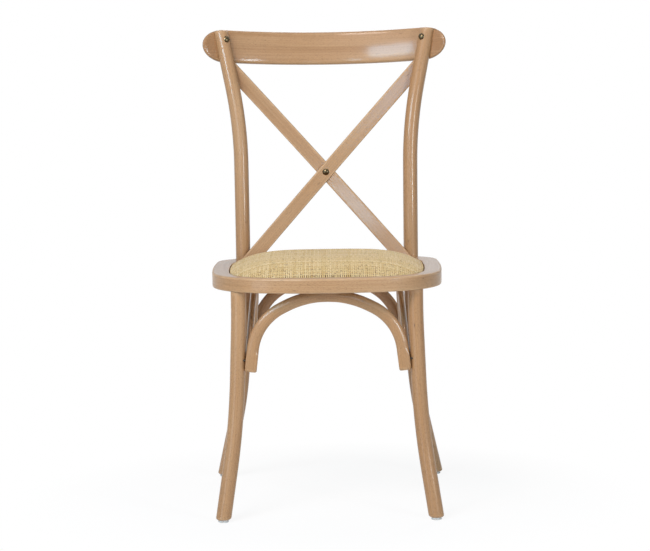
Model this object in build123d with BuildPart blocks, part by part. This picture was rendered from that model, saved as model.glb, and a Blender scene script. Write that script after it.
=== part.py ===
from build123d import *
import os
from math import asin, atan2, cos, degrees, hypot, radians, sin, sqrt, tan

# Cross-back bentwood dining chair with a crowned cane seat, in millimetres.
# X runs across the chair, Y from its front to its back, Z up from the floor.
# Left and right are as seen from the front: left is the -X side.
# A setback is a distance behind the front edge of the seat.

# Seat frame: a wide wooden ring with bowed edges, rebated for the cane seat
seat_height = 446.0
seat_thickness = 27.0
seat_width = 428.0
seat_front_taper = 24.0
seat_back_taper = 16.0
seat_depth = 384.0
seat_front_bow = 46.0
seat_front_corner = 130.0
seat_back_corner = 62.0
seat_top_round = 4.0
seat_bottom_round = 3.0
rebate_depth = 11.0
front_rim = 26.0
side_rim = 33.0
back_rim = 39.0
front_lip = 46.0
side_lip = 62.0
back_lip = 36.0
lip_corner = 15.0

# Drop-in seat: a plywood board under a crowned pad of close-woven cane
panel_front_bow = 18.0
panel_front_corner = 95.0
panel_back_corner = 80.0
board_thickness = 9.0
board_margin = 2.0
cane_gap = 0.8
cane_wall = 3.0
cane_crown = 28.0
crown_fullness = 4
crown_rings = (1.0, 0.94, 0.84, 0.7, 0.5, 0.3)

# Bent round rods: the front legs and the back posts
rod_diameter = 28.0
rod_bend_share = 0.47
rod_chamfer = 2.5
front_leg_inset = 40.7
front_leg_setback = 58.0
front_leg_plumb = 49.0
front_knee_height = 175.0
front_knee_out = 7.2
front_knee_forward = 8.0
front_foot_out = 33.7
front_foot_forward = 38.0
tenon_diameter = 20.0
tenon_length = 18.0
tenon_clearance = 0.15
post_inset = 43.0
post_let_in = 8.0
post_clearance = 0.2
post_plumb_below = 69.0
post_plumb_above = 99.0
back_knee_height = 190.0
back_knee_out = 6.0
back_knee_back = 15.0
back_foot_out = 48.5
back_foot_back = 92.0
shoulder_drop = 185.0
shoulder_out = 1.5
shoulder_back = 16.0
post_flare = 11.3
post_top_drop = 4.0
post_top_round = 3.0

# Top rail: a bent board with rounded ears, let into the backs of the posts
chair_height = 890.0
rail_height = 63.5
rail_thickness = 18.0
rail_radius = 420.0
rail_lean = 9.4
rail_let_in = 11.0
rail_clearance = 0.1
rail_round = 6.0
ear_overhang = 40.5
ear_length = 42.0

# Cross slats: two bent strips, lapped and bolted where they cross
slat_width = 27.0
slat_thickness = 10.0
slat_chamfer = 2.0
slat_foot_inset = 15.0
slat_foot_gap = 2.5
slat_tenon = 8.0
slat_top_drop = 70.0
slat_bow = 22.0
slat_let_in = 10.7
slat_step = 4.5
cross_spotface = 1.1
slat_clearance = 0.2
slat_end_gap = 0.8
slat_end_past_post = 8.0

# Arch braces under the seat: flat bars bent on edge
arch_depth = 22.0
arch_width = 12.0
arch_round = 4.0
arch_drop = 147.0
back_arch_drop = 131.0
arch_bite = 1.2
arch_gap = 2.2
arch_crown_flat = 1.5
arch_knee_in = 11.0
arch_pitch = 26.0
arch_crown_share = 0.57
arch_shoulder_share = 0.37
arch_offset = 8.5
front_arch_setback = 51.0
back_arch_inset = 13.0
side_arch_inset = 79.0

# Fasteners
bolt_diameter = 6.0
bolt_head_diameter = 12.5
bolt_head_height = 3.6
bolt_head_rim = 0.8
bolt_clearance = 0.15
cap_depth = 2.2
spotface = 1.6
rail_bolt_inset = 3.0
rail_bolt_drop = 21.0
seat_bolt_reach = 38.0
seat_bolt_tip = 7.0
barrel_diameter = 10.0
barrel_length = 15.0
screw_diameter = 4.0
screw_head_diameter = 8.0
screw_recess = 1.2
screw_clearance = 0.1
crown_screw_bite = 12.0
end_screw_bite = 13.0
end_screw_rise = 20.0
panel_screw_bite = 6.0
panel_screw_front = 100.0
panel_screw_back = 280.0
slat_screw_bite = 11.0
slat_screw_drop = 6.0

# Foot glides
glide_diameter = 19.0
glide_height = 5.0
glide_round = 1.5
glide_pin_diameter = 3.0
glide_pin_length = 14.0
glide_pin_clearance = 0.1

# Heights, widths and radii that follow from the sizes above
rod_radius = rod_diameter / 2
seat_front_width = seat_width - seat_front_taper
seat_back_width = seat_width - seat_back_taper
seat_bottom = seat_height - seat_thickness
seat_middle = seat_height - seat_thickness / 2
rebate_floor = seat_height - rebate_depth
board_top = rebate_floor + board_thickness
shoulder_height = chair_height - shoulder_drop
arch_end_height = seat_bottom - arch_drop
back_arch_end_height = seat_bottom - back_arch_drop
lean = radians(rail_lean)
flare = radians(post_flare)
bolt_hole = bolt_diameter + 2 * bolt_clearance
head_hole = bolt_head_diameter + 2 * bolt_clearance
glide_pin_hole = glide_pin_diameter + 2 * glide_pin_clearance
sides = {"left": -1, "right": 1}
halvings = 40
below = (Align.CENTER, Align.CENTER, Align.MAX)
above = (Align.CENTER, Align.CENTER, Align.MIN)

os.makedirs("parts", exist_ok=True)


# Routes and outlines
def turn_between(before, corner, after):
    """Angle in radians by which a route turns at a corner."""
    run_in = Vector(corner) - Vector(before)
    run_out = Vector(after) - Vector(corner)
    return radians(run_in.get_angle(run_out))


def bend_radii(points, share):
    """Radius at each corner of a route, taking one share of the shorter run beside it."""
    radii = []
    for before, corner, after in zip(points, points[1:], points[2:]):
        run_in = (Vector(corner) - Vector(before)).length
        run_out = (Vector(after) - Vector(corner)).length
        radii.append(share * min(run_in, run_out) / tan(turn_between(before, corner, after) / 2))
    return radii


def rod_line(route, side):
    """Centre line of a bent rod on one side: straight runs joined by wide tangent arcs."""
    points = [(side * x, y, z) for x, y, z in route]
    with BuildLine() as line:
        FilletPolyline(*points, radius=bend_radii(points, rod_bend_share))
    return line.wire()


def center_at(line, height):
    """Point of a rising centre line at one height, found by halving."""
    low = 0.0
    high = 1.0
    for _ in range(halvings):
        middle = (low + high) / 2
        if (line @ middle).Z < height:
            low = middle
        else:
            high = middle
    return line @ low


def circle_through(first, second, third):
    """Centre and radius of the circle through three points of a sketch."""
    ax, ay = first
    bx, by = second
    cx, cy = third
    area = 2 * (ax * (by - cy) + bx * (cy - ay) + cx * (ay - by))
    a_square = ax * ax + ay * ay
    b_square = bx * bx + by * by
    c_square = cx * cx + cy * cy
    x = (a_square * (by - cy) + b_square * (cy - ay) + c_square * (ay - by)) / area
    y = (a_square * (cx - bx) + b_square * (ax - cx) + c_square * (bx - ax)) / area
    return (x, y), hypot(ax - x, ay - y)


def bent_strip(center, radius, inside, outside, start, size):
    """Face between two arcs about one centre, inside and outside of a middle radius."""
    with BuildLine() as edge:
        near = CenterArc(center, radius - inside, start, size)
        far = CenterArc(center, radius + outside, start, size)
        Line(near @ 0, far @ 0)
        Line(near @ 1, far @ 1)
    make_face(edge.edges())


def outline(sketch, widths, front, back, bow, front_corner, back_corner, scale=1.0):
    """Seat outline with a bowed front, bowed sides, a straight back and rounded corners.

    The widths are at the front corners, the middle and the back corners. A scale under 1
    draws the outline smaller about its own middle.
    """
    front_half, middle_half, back_half = (scale * width / 2 for width in widths)
    middle = (front + back) / 2
    nose = middle + scale * (front - middle)
    shoulder = nose + scale * bow
    tail = middle + scale * (back - middle)
    with BuildLine() as edge:
        ThreePointArc((-front_half, shoulder), (0, nose), (front_half, shoulder))
        ThreePointArc((front_half, shoulder), (middle_half, middle), (back_half, tail))
        Line((back_half, tail), (-back_half, tail))
        ThreePointArc((-back_half, tail), (-middle_half, middle), (-front_half, shoulder))
    make_face(edge.edges())
    fillet(sketch.vertices().group_by(Axis.Y)[0], scale * front_corner)
    fillet(sketch.vertices().group_by(Axis.Y)[-1], scale * back_corner)


# Fasteners and their holes, each set on a plane that faces out of the wood
def domed(seat, inner):
    """Domed head on a plane; inner is the half section from the dome's top to the head's underside."""
    head = bolt_head_diameter / 2
    with BuildSketch(Plane(seat.origin, x_dir=seat.x_dir, z_dir=seat.y_dir * -1)) as section:
        with BuildLine():
            Polyline((0, bolt_head_height), *inner, (head, 0), (head, bolt_head_rim))
            TangentArc((0, bolt_head_height), (head, bolt_head_rim), tangent=(1, 0))
        make_face()
    revolve(section.sketch, axis=Axis(seat.origin, seat.z_dir))


def bolt(seat, length):
    """Bolt with a domed head on a plane and a shank behind it."""
    shank = bolt_diameter / 2
    domed(seat, [(0, -length), (shank, -length), (shank, 0)])


def cap_nut(seat):
    """Domed cap on a plane, with a blind bore for the end of a bolt."""
    domed(seat, [(0, cap_depth), (bolt_hole / 2, cap_depth), (bolt_hole / 2, 0)])


def drill(seat, depth, diameter):
    """Round hole from a plane into the piece being made."""
    with Locations(seat):
        Cylinder(diameter / 2, depth, align=below, mode=Mode.SUBTRACT)


def spot_face(seat):
    """Flat seat for a bolt head, cut away above a plane of the piece being made."""
    with Locations(seat):
        Cylinder(head_hole / 2, rod_diameter, align=above, mode=Mode.SUBTRACT)


def screw(seat, length):
    """Countersunk wood screw with its head flush with a plane."""
    head = screw_head_diameter / 2
    shank = screw_diameter / 2
    with Locations(seat):
        Cylinder(shank, length, align=below)
        Cone(shank, head, head - shank, align=below)


def screw_hole(seat, length):
    """Hole for such a screw, open above its head, in the piece being made."""
    head = screw_head_diameter / 2 + screw_clearance
    shank = screw_diameter / 2 + screw_clearance
    with Locations(seat):
        Cylinder(shank, length + screw_clearance, align=below, mode=Mode.SUBTRACT)
        Cone(shank, head, head - shank, align=below, mode=Mode.SUBTRACT)
        Cylinder(head, screw_head_diameter, align=above, mode=Mode.SUBTRACT)


# Place of the top rail: its front face lies just behind the axes of the posts
post_x = seat_back_width / 2 - post_inset
post_setback = seat_depth - post_let_in
rail_mid_z = chair_height - rail_height / 2 * cos(lean)
rail_mid_rise = rail_mid_z - shoulder_height
rail_mid_x = post_x + shoulder_out + rail_mid_rise * tan(flare)
rail_mid_setback = post_setback + shoulder_back + rail_mid_rise * tan(lean)
rail_width = 2 * (rail_mid_x + ear_overhang)
axis_radius = rail_radius - rod_radius + rail_let_in
rail_sag = rail_radius - sqrt(axis_radius**2 - rail_mid_x**2)
rail_setback = rail_mid_setback + rail_sag * cos(lean)
rail_z = rail_mid_z - rail_sag * sin(lean)

# The chair's depth runs from the front of the seat to the back of the rail's upper edge
rail_reach = (rail_thickness - rail_round) * cos(lean) + (rail_height / 2 - rail_round) * sin(lean)
chair_depth = rail_setback + rail_reach + rail_round
seat_front_y = -chair_depth / 2

# Routes of the right-hand rods from the floor up
leg_x = seat_front_width / 2 - front_leg_inset
leg_y = seat_front_y + front_leg_setback
front_leg_route = [
    (leg_x + front_foot_out, leg_y - front_foot_forward, 0),
    (leg_x + front_knee_out, leg_y - front_knee_forward, front_knee_height),
    (leg_x, leg_y, seat_bottom - front_leg_plumb),
    (leg_x, leg_y, seat_bottom),
]
post_y = seat_front_y + post_setback
post_top_rise = shoulder_drop + rod_diameter
post_route = [
    (post_x + back_foot_out, post_y + back_foot_back, 0),
    (post_x + back_knee_out, post_y + back_knee_back, back_knee_height),
    (post_x, post_y, seat_bottom - post_plumb_below),
    (post_x, post_y, seat_height + post_plumb_above),
    (post_x + shoulder_out, post_y + shoulder_back, shoulder_height),
    (
        post_x + shoulder_out + post_top_rise * tan(flare),
        post_y + shoulder_back + post_top_rise * tan(lean),
        shoulder_height + post_top_rise,
    ),
]
post_axis = rod_line(post_route, 1)
front_leg_axis = rod_line(front_leg_route, 1)

# Planes of the top rail: z up along the lean, y to the back
rail_up = Vector(0, sin(lean), cos(lean))
rail_plane = Plane((0, seat_front_y + rail_setback, rail_z), x_dir=(1, 0, 0), z_dir=rail_up)
rail_face = Plane(rail_plane.origin, x_dir=(1, 0, 0), z_dir=rail_plane.y_dir * -1)
rail_top = rail_plane.offset(rail_height / 2)
rail_underside = rail_plane.offset(-rail_height / 2)
rail_half_angle = degrees(asin((rail_width / 2 + rail_thickness) / (rail_radius + rail_thickness)))


def rail_strip(inside, outside):
    """Plan of the bent rail, longer than the rail at both ends."""
    bent_strip((0, -rail_radius), rail_radius, inside, outside, 90 - rail_half_angle, 2 * rail_half_angle)


def rail_bolt_seat(side):
    """Plane of a rail bolt's head on the front of a post, square to the rail's face."""
    axis = rail_plane.to_local_coords(center_at(post_axis, chair_height - rail_bolt_drop))
    reach = hypot(axis.X, axis.Y + rail_radius) - sqrt(rod_radius**2 - rail_bolt_inset**2) + spotface
    angle = atan2(axis.X, axis.Y + rail_radius) - rail_bolt_inset / rail_radius
    outward = rail_plane.x_dir * (side * sin(angle)) + rail_plane.y_dir * cos(angle)
    middle = rail_plane.origin - rail_plane.y_dir * rail_radius + rail_up * axis.Z
    return Plane(middle + outward * reach, x_dir=rail_up, z_dir=outward * -1)


def rail_grip():
    """Thickness of post and rail between a rail bolt's head and its nut."""
    head = rail_plane.to_local_coords(rail_bolt_seat(1).origin)
    return rail_radius + rail_thickness - hypot(head.X, head.Y + rail_radius)


def rail_nut_seat(side):
    """Plane of a rail bolt's cap nut on the back of the rail."""
    seat = rail_bolt_seat(side)
    return Plane(seat.origin - seat.z_dir * rail_grip(), x_dir=rail_up, z_dir=seat.z_dir * -1)


# Places of the cross slats: from the seat, in front of one post, to the back of the other
slat_foot = post_x - slat_foot_inset
slat_foot_y = post_y - rod_radius - slat_foot_gap - slat_thickness / 2
slat_top = center_at(post_axis, chair_height - slat_top_drop)
slat_top_y = slat_top.Y + rod_radius - slat_let_in + slat_thickness / 2
slat_foot_share = slat_foot / (slat_foot + slat_top.X)
cross_height = seat_height + slat_foot_share * (slat_top.Z - seat_height)
cross_y = slat_foot_y + slat_foot_share * (slat_top_y - slat_foot_y) + slat_bow
slat_below = hypot(slat_foot, cross_height - seat_height)
slat_above = hypot(slat_top.X, slat_top.Z - cross_height)


def slat_plane(side):
    """Plane through the crossing with x up along the slat whose top is on one side, and y to the back."""
    along = Vector(side * slat_foot, 0, cross_height - seat_height).normalized()
    return Plane((0, cross_y, cross_height), x_dir=along, z_dir=(-along.Z, 0, along.X))


def slat_strip(side, inside, outside):
    """Edge view of a bent slat, longer than the slat at both ends; the right one passes in front."""
    foot = (-slat_below, slat_foot_y - cross_y)
    top = (slat_above, slat_top_y - cross_y)
    center, radius = circle_through(foot, (0, -side * slat_step / 2), top)
    spare = degrees(2 * slat_width / radius)
    start = degrees(atan2(top[1] - center[1], top[0] - center[0])) - spare
    end = degrees(atan2(foot[1] - center[1], foot[0] - center[0])) + spare
    bent_strip(center, radius, inside, outside, start, end - start)


def slat_screw_seat(side):
    """Plane of a screw's head in the back of a slat's upper end, behind its post."""
    height = slat_top.Z - slat_screw_drop
    x = side * center_at(post_axis, height).X
    y = slat_top_y + slat_thickness / 2 - screw_recess
    return Plane((x, y, height), x_dir=(1, 0, 0), z_dir=(0, 1, 0))


slat_screw_length = slat_thickness - screw_recess + slat_screw_bite
cross_grip = slat_step + slat_thickness - 2 * cross_spotface
cross_bolt_seat = Plane((0, cross_y - cross_grip / 2, cross_height), x_dir=(1, 0, 0), z_dir=(0, -1, 0))
cross_nut_seat = Plane((0, cross_y + cross_grip / 2, cross_height), x_dir=(1, 0, 0), z_dir=(0, 1, 0))


# Places of the arch braces: each plane has x along the span and y up, with its origin on the seat
def arch_plane(crown, end_middle, across):
    """Plane of an arch from its crown, the middle between its ends and its span's direction."""
    up = (Vector(crown) - Vector(end_middle)).normalized()
    return Plane(crown, x_dir=across, z_dir=Vector(across).cross(up))


leg_at_arch = center_at(front_leg_axis, arch_end_height)
post_at_arch = center_at(post_axis, arch_end_height)
post_at_back_arch = center_at(post_axis, back_arch_end_height)
arch_from_axis = rod_radius - arch_bite + arch_depth / 2
arch_spacing = (arch_width + arch_depth) / 2 + arch_gap
front_arch_y = leg_at_arch.Y - arch_offset
back_arch_y = post_at_back_arch.Y + arch_offset
side_arch_back = post_at_arch.Y + arch_offset
side_arch_half = (side_arch_back - front_arch_y) / 2 - arch_spacing
side_arch_y = (side_arch_back + front_arch_y) / 2
side_arch_x = seat_width / 2 - side_arch_inset
side_arch_end_x = (leg_at_arch.X + post_at_arch.X) / 2 - rod_radius + arch_bite - arch_width / 2
front_arch_plane = arch_plane(
    (0, seat_front_y + front_arch_setback, seat_bottom), (0, front_arch_y, arch_end_height), (1, 0, 0)
)
back_arch_plane = arch_plane(
    (0, seat_front_y + seat_depth - back_arch_inset, seat_bottom),
    (0, back_arch_y, back_arch_end_height),
    (1, 0, 0),
)
side_arch_planes = {
    side: arch_plane(
        (side * side_arch_x, side_arch_y, seat_bottom),
        (side * side_arch_end_x, side_arch_y, arch_end_height),
        (0, 1, 0),
    )
    for side in sides.values()
}
arches = {
    "front_arch": (front_arch_plane, leg_at_arch.X - arch_from_axis, arch_drop),
    "back_arch": (back_arch_plane, post_at_back_arch.X - arch_from_axis, back_arch_drop),
    "left_side_arch": (side_arch_planes[-1], side_arch_half, arch_drop),
    "right_side_arch": (side_arch_planes[1], side_arch_half, arch_drop),
}


def arch_points(plane, half_span, drop):
    """Corners of an arch's middle line in its plane: end, knee, apex, knee, end."""
    pitch = radians(arch_pitch)
    half_knee = half_span - arch_knee_in
    crown = arch_crown_flat - arch_depth / 2
    apex = crown + arch_crown_share * half_knee / sin(pitch) * (1 / cos(pitch) - 1)
    knee = apex - half_knee * tan(pitch)
    end = -drop / plane.y_dir.Z
    return [(-half_span, end), (-half_knee, knee), (0, apex), (half_knee, knee), (half_span, end)]


def arch_radii(points):
    """Radii of an arch's shoulders and crown, as shares of the sloping run between them."""
    run = hypot(points[2][0] - points[1][0], points[2][1] - points[1][1])
    shoulder = arch_shoulder_share * run / tan(turn_between(*points[0:3]) / 2)
    crown = arch_crown_share * run / tan(turn_between(*points[1:4]) / 2)
    return [shoulder, crown, shoulder]


def arch_end(plane, half_span, drop, side):
    """Place of an end screw on an arch's middle line, and the inward direction square to the line."""
    points = arch_points(plane, half_span, drop)
    end = Vector(side * points[4][0], points[4][1])
    along = (Vector(side * points[3][0], points[3][1]) - end).normalized()
    inward = plane.x_dir * (-side * along.Y) + plane.y_dir * (side * along.X)
    return plane.from_local_coords(end + along * end_screw_rise), inward


def cross_end_seat(name, side):
    """Plane of an end screw through the depth of the front or back arch, into its leg."""
    plane, half_span, drop = arches[name]
    place, inward = arch_end(plane, half_span, drop, side)
    return Plane(place + inward * (arch_depth / 2 - screw_recess), x_dir=plane.z_dir, z_dir=inward)


def side_end_seat(side, end):
    """Plane of an end screw through the width of a side arch, into its leg; end 1 is the back one."""
    plane = side_arch_planes[side]
    place, _ = arch_end(plane, side_arch_half, arch_drop, end)
    inward = plane.z_dir * -side
    return Plane(place + inward * (arch_width / 2 - screw_recess), x_dir=plane.x_dir, z_dir=inward)


def crown_seat(plane):
    """Plane of a crown screw's head in the underside of an arch."""
    under = plane.origin + plane.y_dir * (arch_crown_flat - arch_depth + screw_recess)
    return Plane(under, x_dir=plane.x_dir, z_dir=plane.y_dir * -1)


crown_screw_length = arch_depth - arch_crown_flat - screw_recess + crown_screw_bite
cross_end_length = arch_depth - screw_recess + end_screw_bite
side_end_length = arch_width - screw_recess + end_screw_bite


# Places of the seat bolts, panel screws and glides
def seat_bolt_seat(side):
    """Plane of a seat bolt's head on the back of a post."""
    y = post_y + rod_radius - spotface
    return Plane((side * post_x, y, seat_middle), x_dir=(1, 0, 0), z_dir=(0, 1, 0))


def upward(x, y, z):
    """Plane that faces down at a place, for what goes up into the wood from below."""
    return Plane((x, y, z), x_dir=(1, 0, 0), z_dir=(0, 0, -1))


def foot_seat(route, side):
    """Plane under the end of a leg, where its glide sits."""
    foot = center_at(rod_line(route, side), glide_height)
    return upward(foot.X, foot.Y, glide_height)


def taper_foot(seat):
    """Short cone at the foot of the rod being made, widening upwards from the glide's seat."""
    tip = rod_radius - rod_chamfer
    rise = chair_height + rod_diameter
    with Locations(seat):
        Cone(tip + rise, tip, rise, align=below, mode=Mode.INTERSECT)


seat_bolt_length = rod_radius - spotface + seat_bolt_reach + seat_bolt_tip
barrel_top = seat_middle + barrel_length / 2
panel_screw_x = seat_width / 2 - side_rim - side_lip / 2
panel_screw_length = rebate_floor - seat_bottom + panel_screw_bite
panel_seats = [
    upward(side * panel_screw_x, seat_front_y + setback, seat_bottom)
    for side in sides.values()
    for setback in (panel_screw_front, panel_screw_back)
]


def panel_outline(sketch, margin, scale=1.0):
    """Outline of the drop-in seat, drawn in by a margin."""
    inset = 2 * (side_rim + margin)
    outline(
        sketch,
        (seat_front_width - inset, seat_width - inset, seat_back_width - inset),
        seat_front_y + front_rim + margin,
        seat_front_y + seat_depth - back_rim - margin,
        panel_front_bow,
        panel_front_corner - margin,
        panel_back_corner - margin,
        scale,
    )


# Front legs, with a round tenon into the seat frame
rods = {}
for name, side in sides.items():
    line = rod_line(front_leg_route, side)
    with BuildPart() as front_leg:
        with BuildSketch(Plane(line @ 0, z_dir=line % 0)):
            Circle(rod_radius)
        sweep(path=line)
        split(bisect_by=Plane.XY.offset(glide_height), keep=Keep.TOP)
        taper_foot(foot_seat(front_leg_route, side))
        rods[f"{name}_front_leg"] = front_leg.part
        with BuildSketch(Plane((side * leg_x, leg_y, seat_bottom))):
            Circle(tenon_diameter / 2)
        extrude(amount=tenon_length)
        drill(foot_seat(front_leg_route, side), glide_pin_length, glide_pin_hole)
        screw_hole(cross_end_seat("front_arch", side), cross_end_length)
        screw_hole(side_end_seat(side, -1), side_end_length)
    front_leg.part.label = f"{name}_front_leg"
    export_step(front_leg.part, f"parts/{name}_front_leg.step")

# Back posts: back leg and back upright in one bent rod, housed for the rail and a slat
for name, side in sides.items():
    line = rod_line(post_route, side)
    with BuildPart() as back_post:
        with BuildSketch(Plane(line @ 0, z_dir=line % 0)):
            Circle(rod_radius)
        sweep(path=line)
        split(bisect_by=Plane.XY.offset(glide_height), keep=Keep.TOP)
        taper_foot(foot_seat(post_route, side))
        rods[f"{name}_back_post"] = back_post.part
        split(bisect_by=rail_top.offset(-post_top_drop), keep=Keep.BOTTOM)
        fillet(back_post.faces().sort_by(Axis.Z)[-1].edges(), post_top_round)
        with BuildSketch(rail_underside.offset(-rail_clearance)):
            rail_strip(rail_clearance, rod_diameter)
        extrude(amount=2 * rail_height, mode=Mode.SUBTRACT)
        with BuildSketch(slat_plane(side)):
            slat_strip(side, slat_thickness / 2 + slat_clearance, rod_diameter)
        extrude(amount=slat_width / 2 + slat_clearance, both=True, mode=Mode.SUBTRACT)
        drill(foot_seat(post_route, side), glide_pin_length, glide_pin_hole)
        drill(rail_bolt_seat(side), rail_grip(), bolt_hole)
        spot_face(rail_bolt_seat(side))
        drill(seat_bolt_seat(side), seat_bolt_length, bolt_hole)
        spot_face(seat_bolt_seat(side))
        screw_hole(cross_end_seat("back_arch", side), cross_end_length)
        screw_hole(side_end_seat(side, 1), side_end_length)
        screw_hole(slat_screw_seat(side), slat_screw_length)
    back_post.part.label = f"{name}_back_post"
    export_step(back_post.part, f"parts/{name}_back_post.step")

# Cross slats: the front one rises to the right, the back one to the left
slat_tenons = {}
for name, side in {"front_cross_slat": 1, "back_cross_slat": -1}.items():
    end_plane = Plane(
        (side * (slat_top.X + slat_end_past_post), 0, slat_top.Z), z_dir=(side * cos(flare), 0, -sin(flare))
    )
    with BuildPart() as cross_slat:
        with BuildSketch(slat_plane(side)):
            slat_strip(side, slat_thickness / 2, slat_thickness / 2)
        extrude(amount=slat_width / 2, both=True)
        chamfer(cross_slat.edges().filter_by(GeomType.CIRCLE), slat_chamfer)
        split(bisect_by=Plane.XY.offset(seat_height - slat_tenon), keep=Keep.TOP)
        split(bisect_by=rail_underside.offset(-slat_end_gap), keep=Keep.BOTTOM)
        split(bisect_by=end_plane, keep=Keep.BOTTOM)
        with BuildSketch(Plane((0, cross_y, cross_height), x_dir=slat_plane(-side).x_dir, z_dir=(0, 1, 0))):
            Rectangle(4 * slat_width, slat_width + 2 * slat_clearance)
        extrude(amount=side * slat_thickness, mode=Mode.SUBTRACT)
        drill(cross_bolt_seat, 2 * cross_grip, bolt_hole)
        spot_face(cross_bolt_seat if side > 0 else cross_nut_seat)
        screw_hole(slat_screw_seat(side), slat_screw_length)
    cross_slat.part.label = name
    export_step(cross_slat.part, f"parts/{name}.step")
    with BuildPart() as slat_mortise:
        with BuildSketch(slat_plane(side)):
            slat_strip(side, slat_thickness / 2 + slat_clearance, slat_thickness / 2 + slat_clearance)
        extrude(amount=slat_width / 2 + slat_clearance, both=True)
        split(bisect_by=Plane.XY.offset(seat_height - slat_tenon - slat_clearance), keep=Keep.TOP)
    slat_tenons[name] = slat_mortise.part

# Top rail
with BuildPart() as top_rail:
    with BuildSketch(rail_underside):
        rail_strip(0, rail_thickness)
    extrude(amount=rail_height)
    with BuildSketch(rail_face):
        Rectangle(rail_width - 2 * ear_length, rail_height)
        with Locations((rail_width / 2 - ear_length, 0), (ear_length - rail_width / 2, 0)):
            Ellipse(ear_length, rail_height / 2)
    extrude(amount=rail_width, both=True, mode=Mode.INTERSECT)
    fillet(top_rail.faces().filter_by(GeomType.CYLINDER).edges(), rail_round)
    for side in sides.values():
        drill(rail_bolt_seat(side), rail_grip() + rail_thickness, bolt_hole)
top_rail.part.label = "top_rail"
export_step(top_rail.part, "parts/top_rail.step")

# Arch braces, flat on the seat frame and hollowed round the legs
for name, (plane, half_span, drop) in arches.items():
    points = arch_points(plane, half_span, drop)
    with BuildLine(plane) as arch_line:
        FilletPolyline(*points, radius=arch_radii(points))
    line = arch_line.wire()
    with BuildPart() as arch:
        with BuildSketch(Plane(line @ 0, x_dir=plane.z_dir, z_dir=line % 0)):
            RectangleRounded(arch_width, arch_depth, arch_round)
        sweep(path=line)
        split(bisect_by=Plane.XY.offset(seat_bottom), keep=Keep.BOTTOM)
        for rod in rods.values():
            add(rod, mode=Mode.SUBTRACT)
        screw_hole(crown_seat(plane), crown_screw_length)
        if name in ("front_arch", "back_arch"):
            for side in sides.values():
                screw_hole(cross_end_seat(name, side), cross_end_length)
        else:
            for end in (-1, 1):
                screw_hole(side_end_seat(-1 if plane.origin.X < 0 else 1, end), side_end_length)
    arch.part.label = name
    export_step(arch.part, f"parts/{name}.step")

# Seat frame
opening_front = seat_front_y + front_rim + front_lip
opening_back = seat_front_y + seat_depth - back_rim - back_lip
with BuildPart() as seat_frame:
    with BuildSketch(Plane.XY.offset(seat_bottom)) as ring:
        outline(
            ring,
            (seat_front_width, seat_width, seat_back_width),
            seat_front_y,
            seat_front_y + seat_depth,
            seat_front_bow,
            seat_front_corner,
            seat_back_corner,
        )
    extrude(amount=seat_thickness)
    fillet(seat_frame.faces().sort_by(Axis.Z)[-1].edges(), seat_top_round)
    fillet(seat_frame.faces().sort_by(Axis.Z)[0].edges(), seat_bottom_round)
    with BuildSketch(Plane.XY.offset(rebate_floor)) as rebate:
        panel_outline(rebate, -cane_gap)
    extrude(amount=rebate_depth, mode=Mode.SUBTRACT)
    with BuildSketch(Plane.XY.offset(seat_bottom)):
        with Locations((0, (opening_front + opening_back) / 2)):
            RectangleRounded(seat_width - 2 * (side_rim + side_lip), opening_back - opening_front, lip_corner)
    extrude(amount=seat_thickness, mode=Mode.SUBTRACT)
    with BuildSketch(Plane.XY.offset(seat_bottom)):
        with Locations((post_x, post_y), (-post_x, post_y)):
            Circle(rod_radius + post_clearance)
            Rectangle(2 * (rod_radius + post_clearance), rod_diameter, align=(Align.CENTER, Align.MIN))
    extrude(amount=seat_thickness, mode=Mode.SUBTRACT)
    for tenon in slat_tenons.values():
        add(tenon, mode=Mode.SUBTRACT)
    for side in sides.values():
        drill(upward(side * leg_x, leg_y, seat_bottom), tenon_length + tenon_clearance,
              tenon_diameter + 2 * tenon_clearance)
        drill(seat_bolt_seat(side), seat_bolt_length + bolt_clearance, bolt_hole)
        drill(upward(side * post_x, post_y - seat_bolt_reach, seat_bottom),
              barrel_top - seat_bottom + bolt_clearance, barrel_diameter + 2 * bolt_clearance)
    for plane, _, _ in arches.values():
        screw_hole(crown_seat(plane), crown_screw_length)
    for seat in panel_seats:
        screw_hole(seat, panel_screw_length)
seat_frame.part.label = "seat_frame"
export_step(seat_frame.part, "parts/seat_frame.step")

# Seat board
with BuildPart() as seat_board:
    with BuildSketch(Plane.XY.offset(rebate_floor)) as board:
        panel_outline(board, board_margin)
    extrude(amount=board_thickness)
    for seat in panel_seats:
        screw_hole(seat, panel_screw_length)
seat_board.part.label = "seat_board"
export_step(seat_board.part, "parts/seat_board.step")

# Cane seat: an upright edge, then a crown that is full near the middle and falls off at the rim
with BuildPart() as cane_seat:
    with BuildSketch(Plane.XY.offset(board_top)) as rim:
        panel_outline(rim, 0)
    extrude(amount=cane_wall)
    for ring_scale in crown_rings:
        rise = cane_crown * (1 - ring_scale**crown_fullness)
        with BuildSketch(Plane.XY.offset(board_top + cane_wall + rise)) as crown_ring:
            panel_outline(crown_ring, 0, ring_scale)
    loft()
cane_seat.part.label = "cane_seat"
export_step(cane_seat.part, "parts/cane_seat.step")

# Glides under the four feet
for name, route in {"front": front_leg_route, "back": post_route}.items():
    for side_name, side in sides.items():
        seat = foot_seat(route, side)
        with BuildPart() as glide:
            with Locations(seat):
                Cylinder(glide_diameter / 2, glide_height, align=above)
            fillet(glide.faces().sort_by(Axis.Z)[0].edges(), glide_round)
            with Locations(seat):
                Cylinder(glide_pin_diameter / 2, glide_pin_length - glide_pin_clearance, align=below)
        glide.part.label = f"{side_name}_{name}_glide"
        export_step(glide.part, f"parts/{side_name}_{name}_glide.step")

# Bolt and cap nut at the crossing
with BuildPart() as cross_bolt:
    bolt(cross_bolt_seat, cross_grip + cap_depth - bolt_clearance)
cross_bolt.part.label = "cross_bolt"
export_step(cross_bolt.part, "parts/cross_bolt.step")

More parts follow.
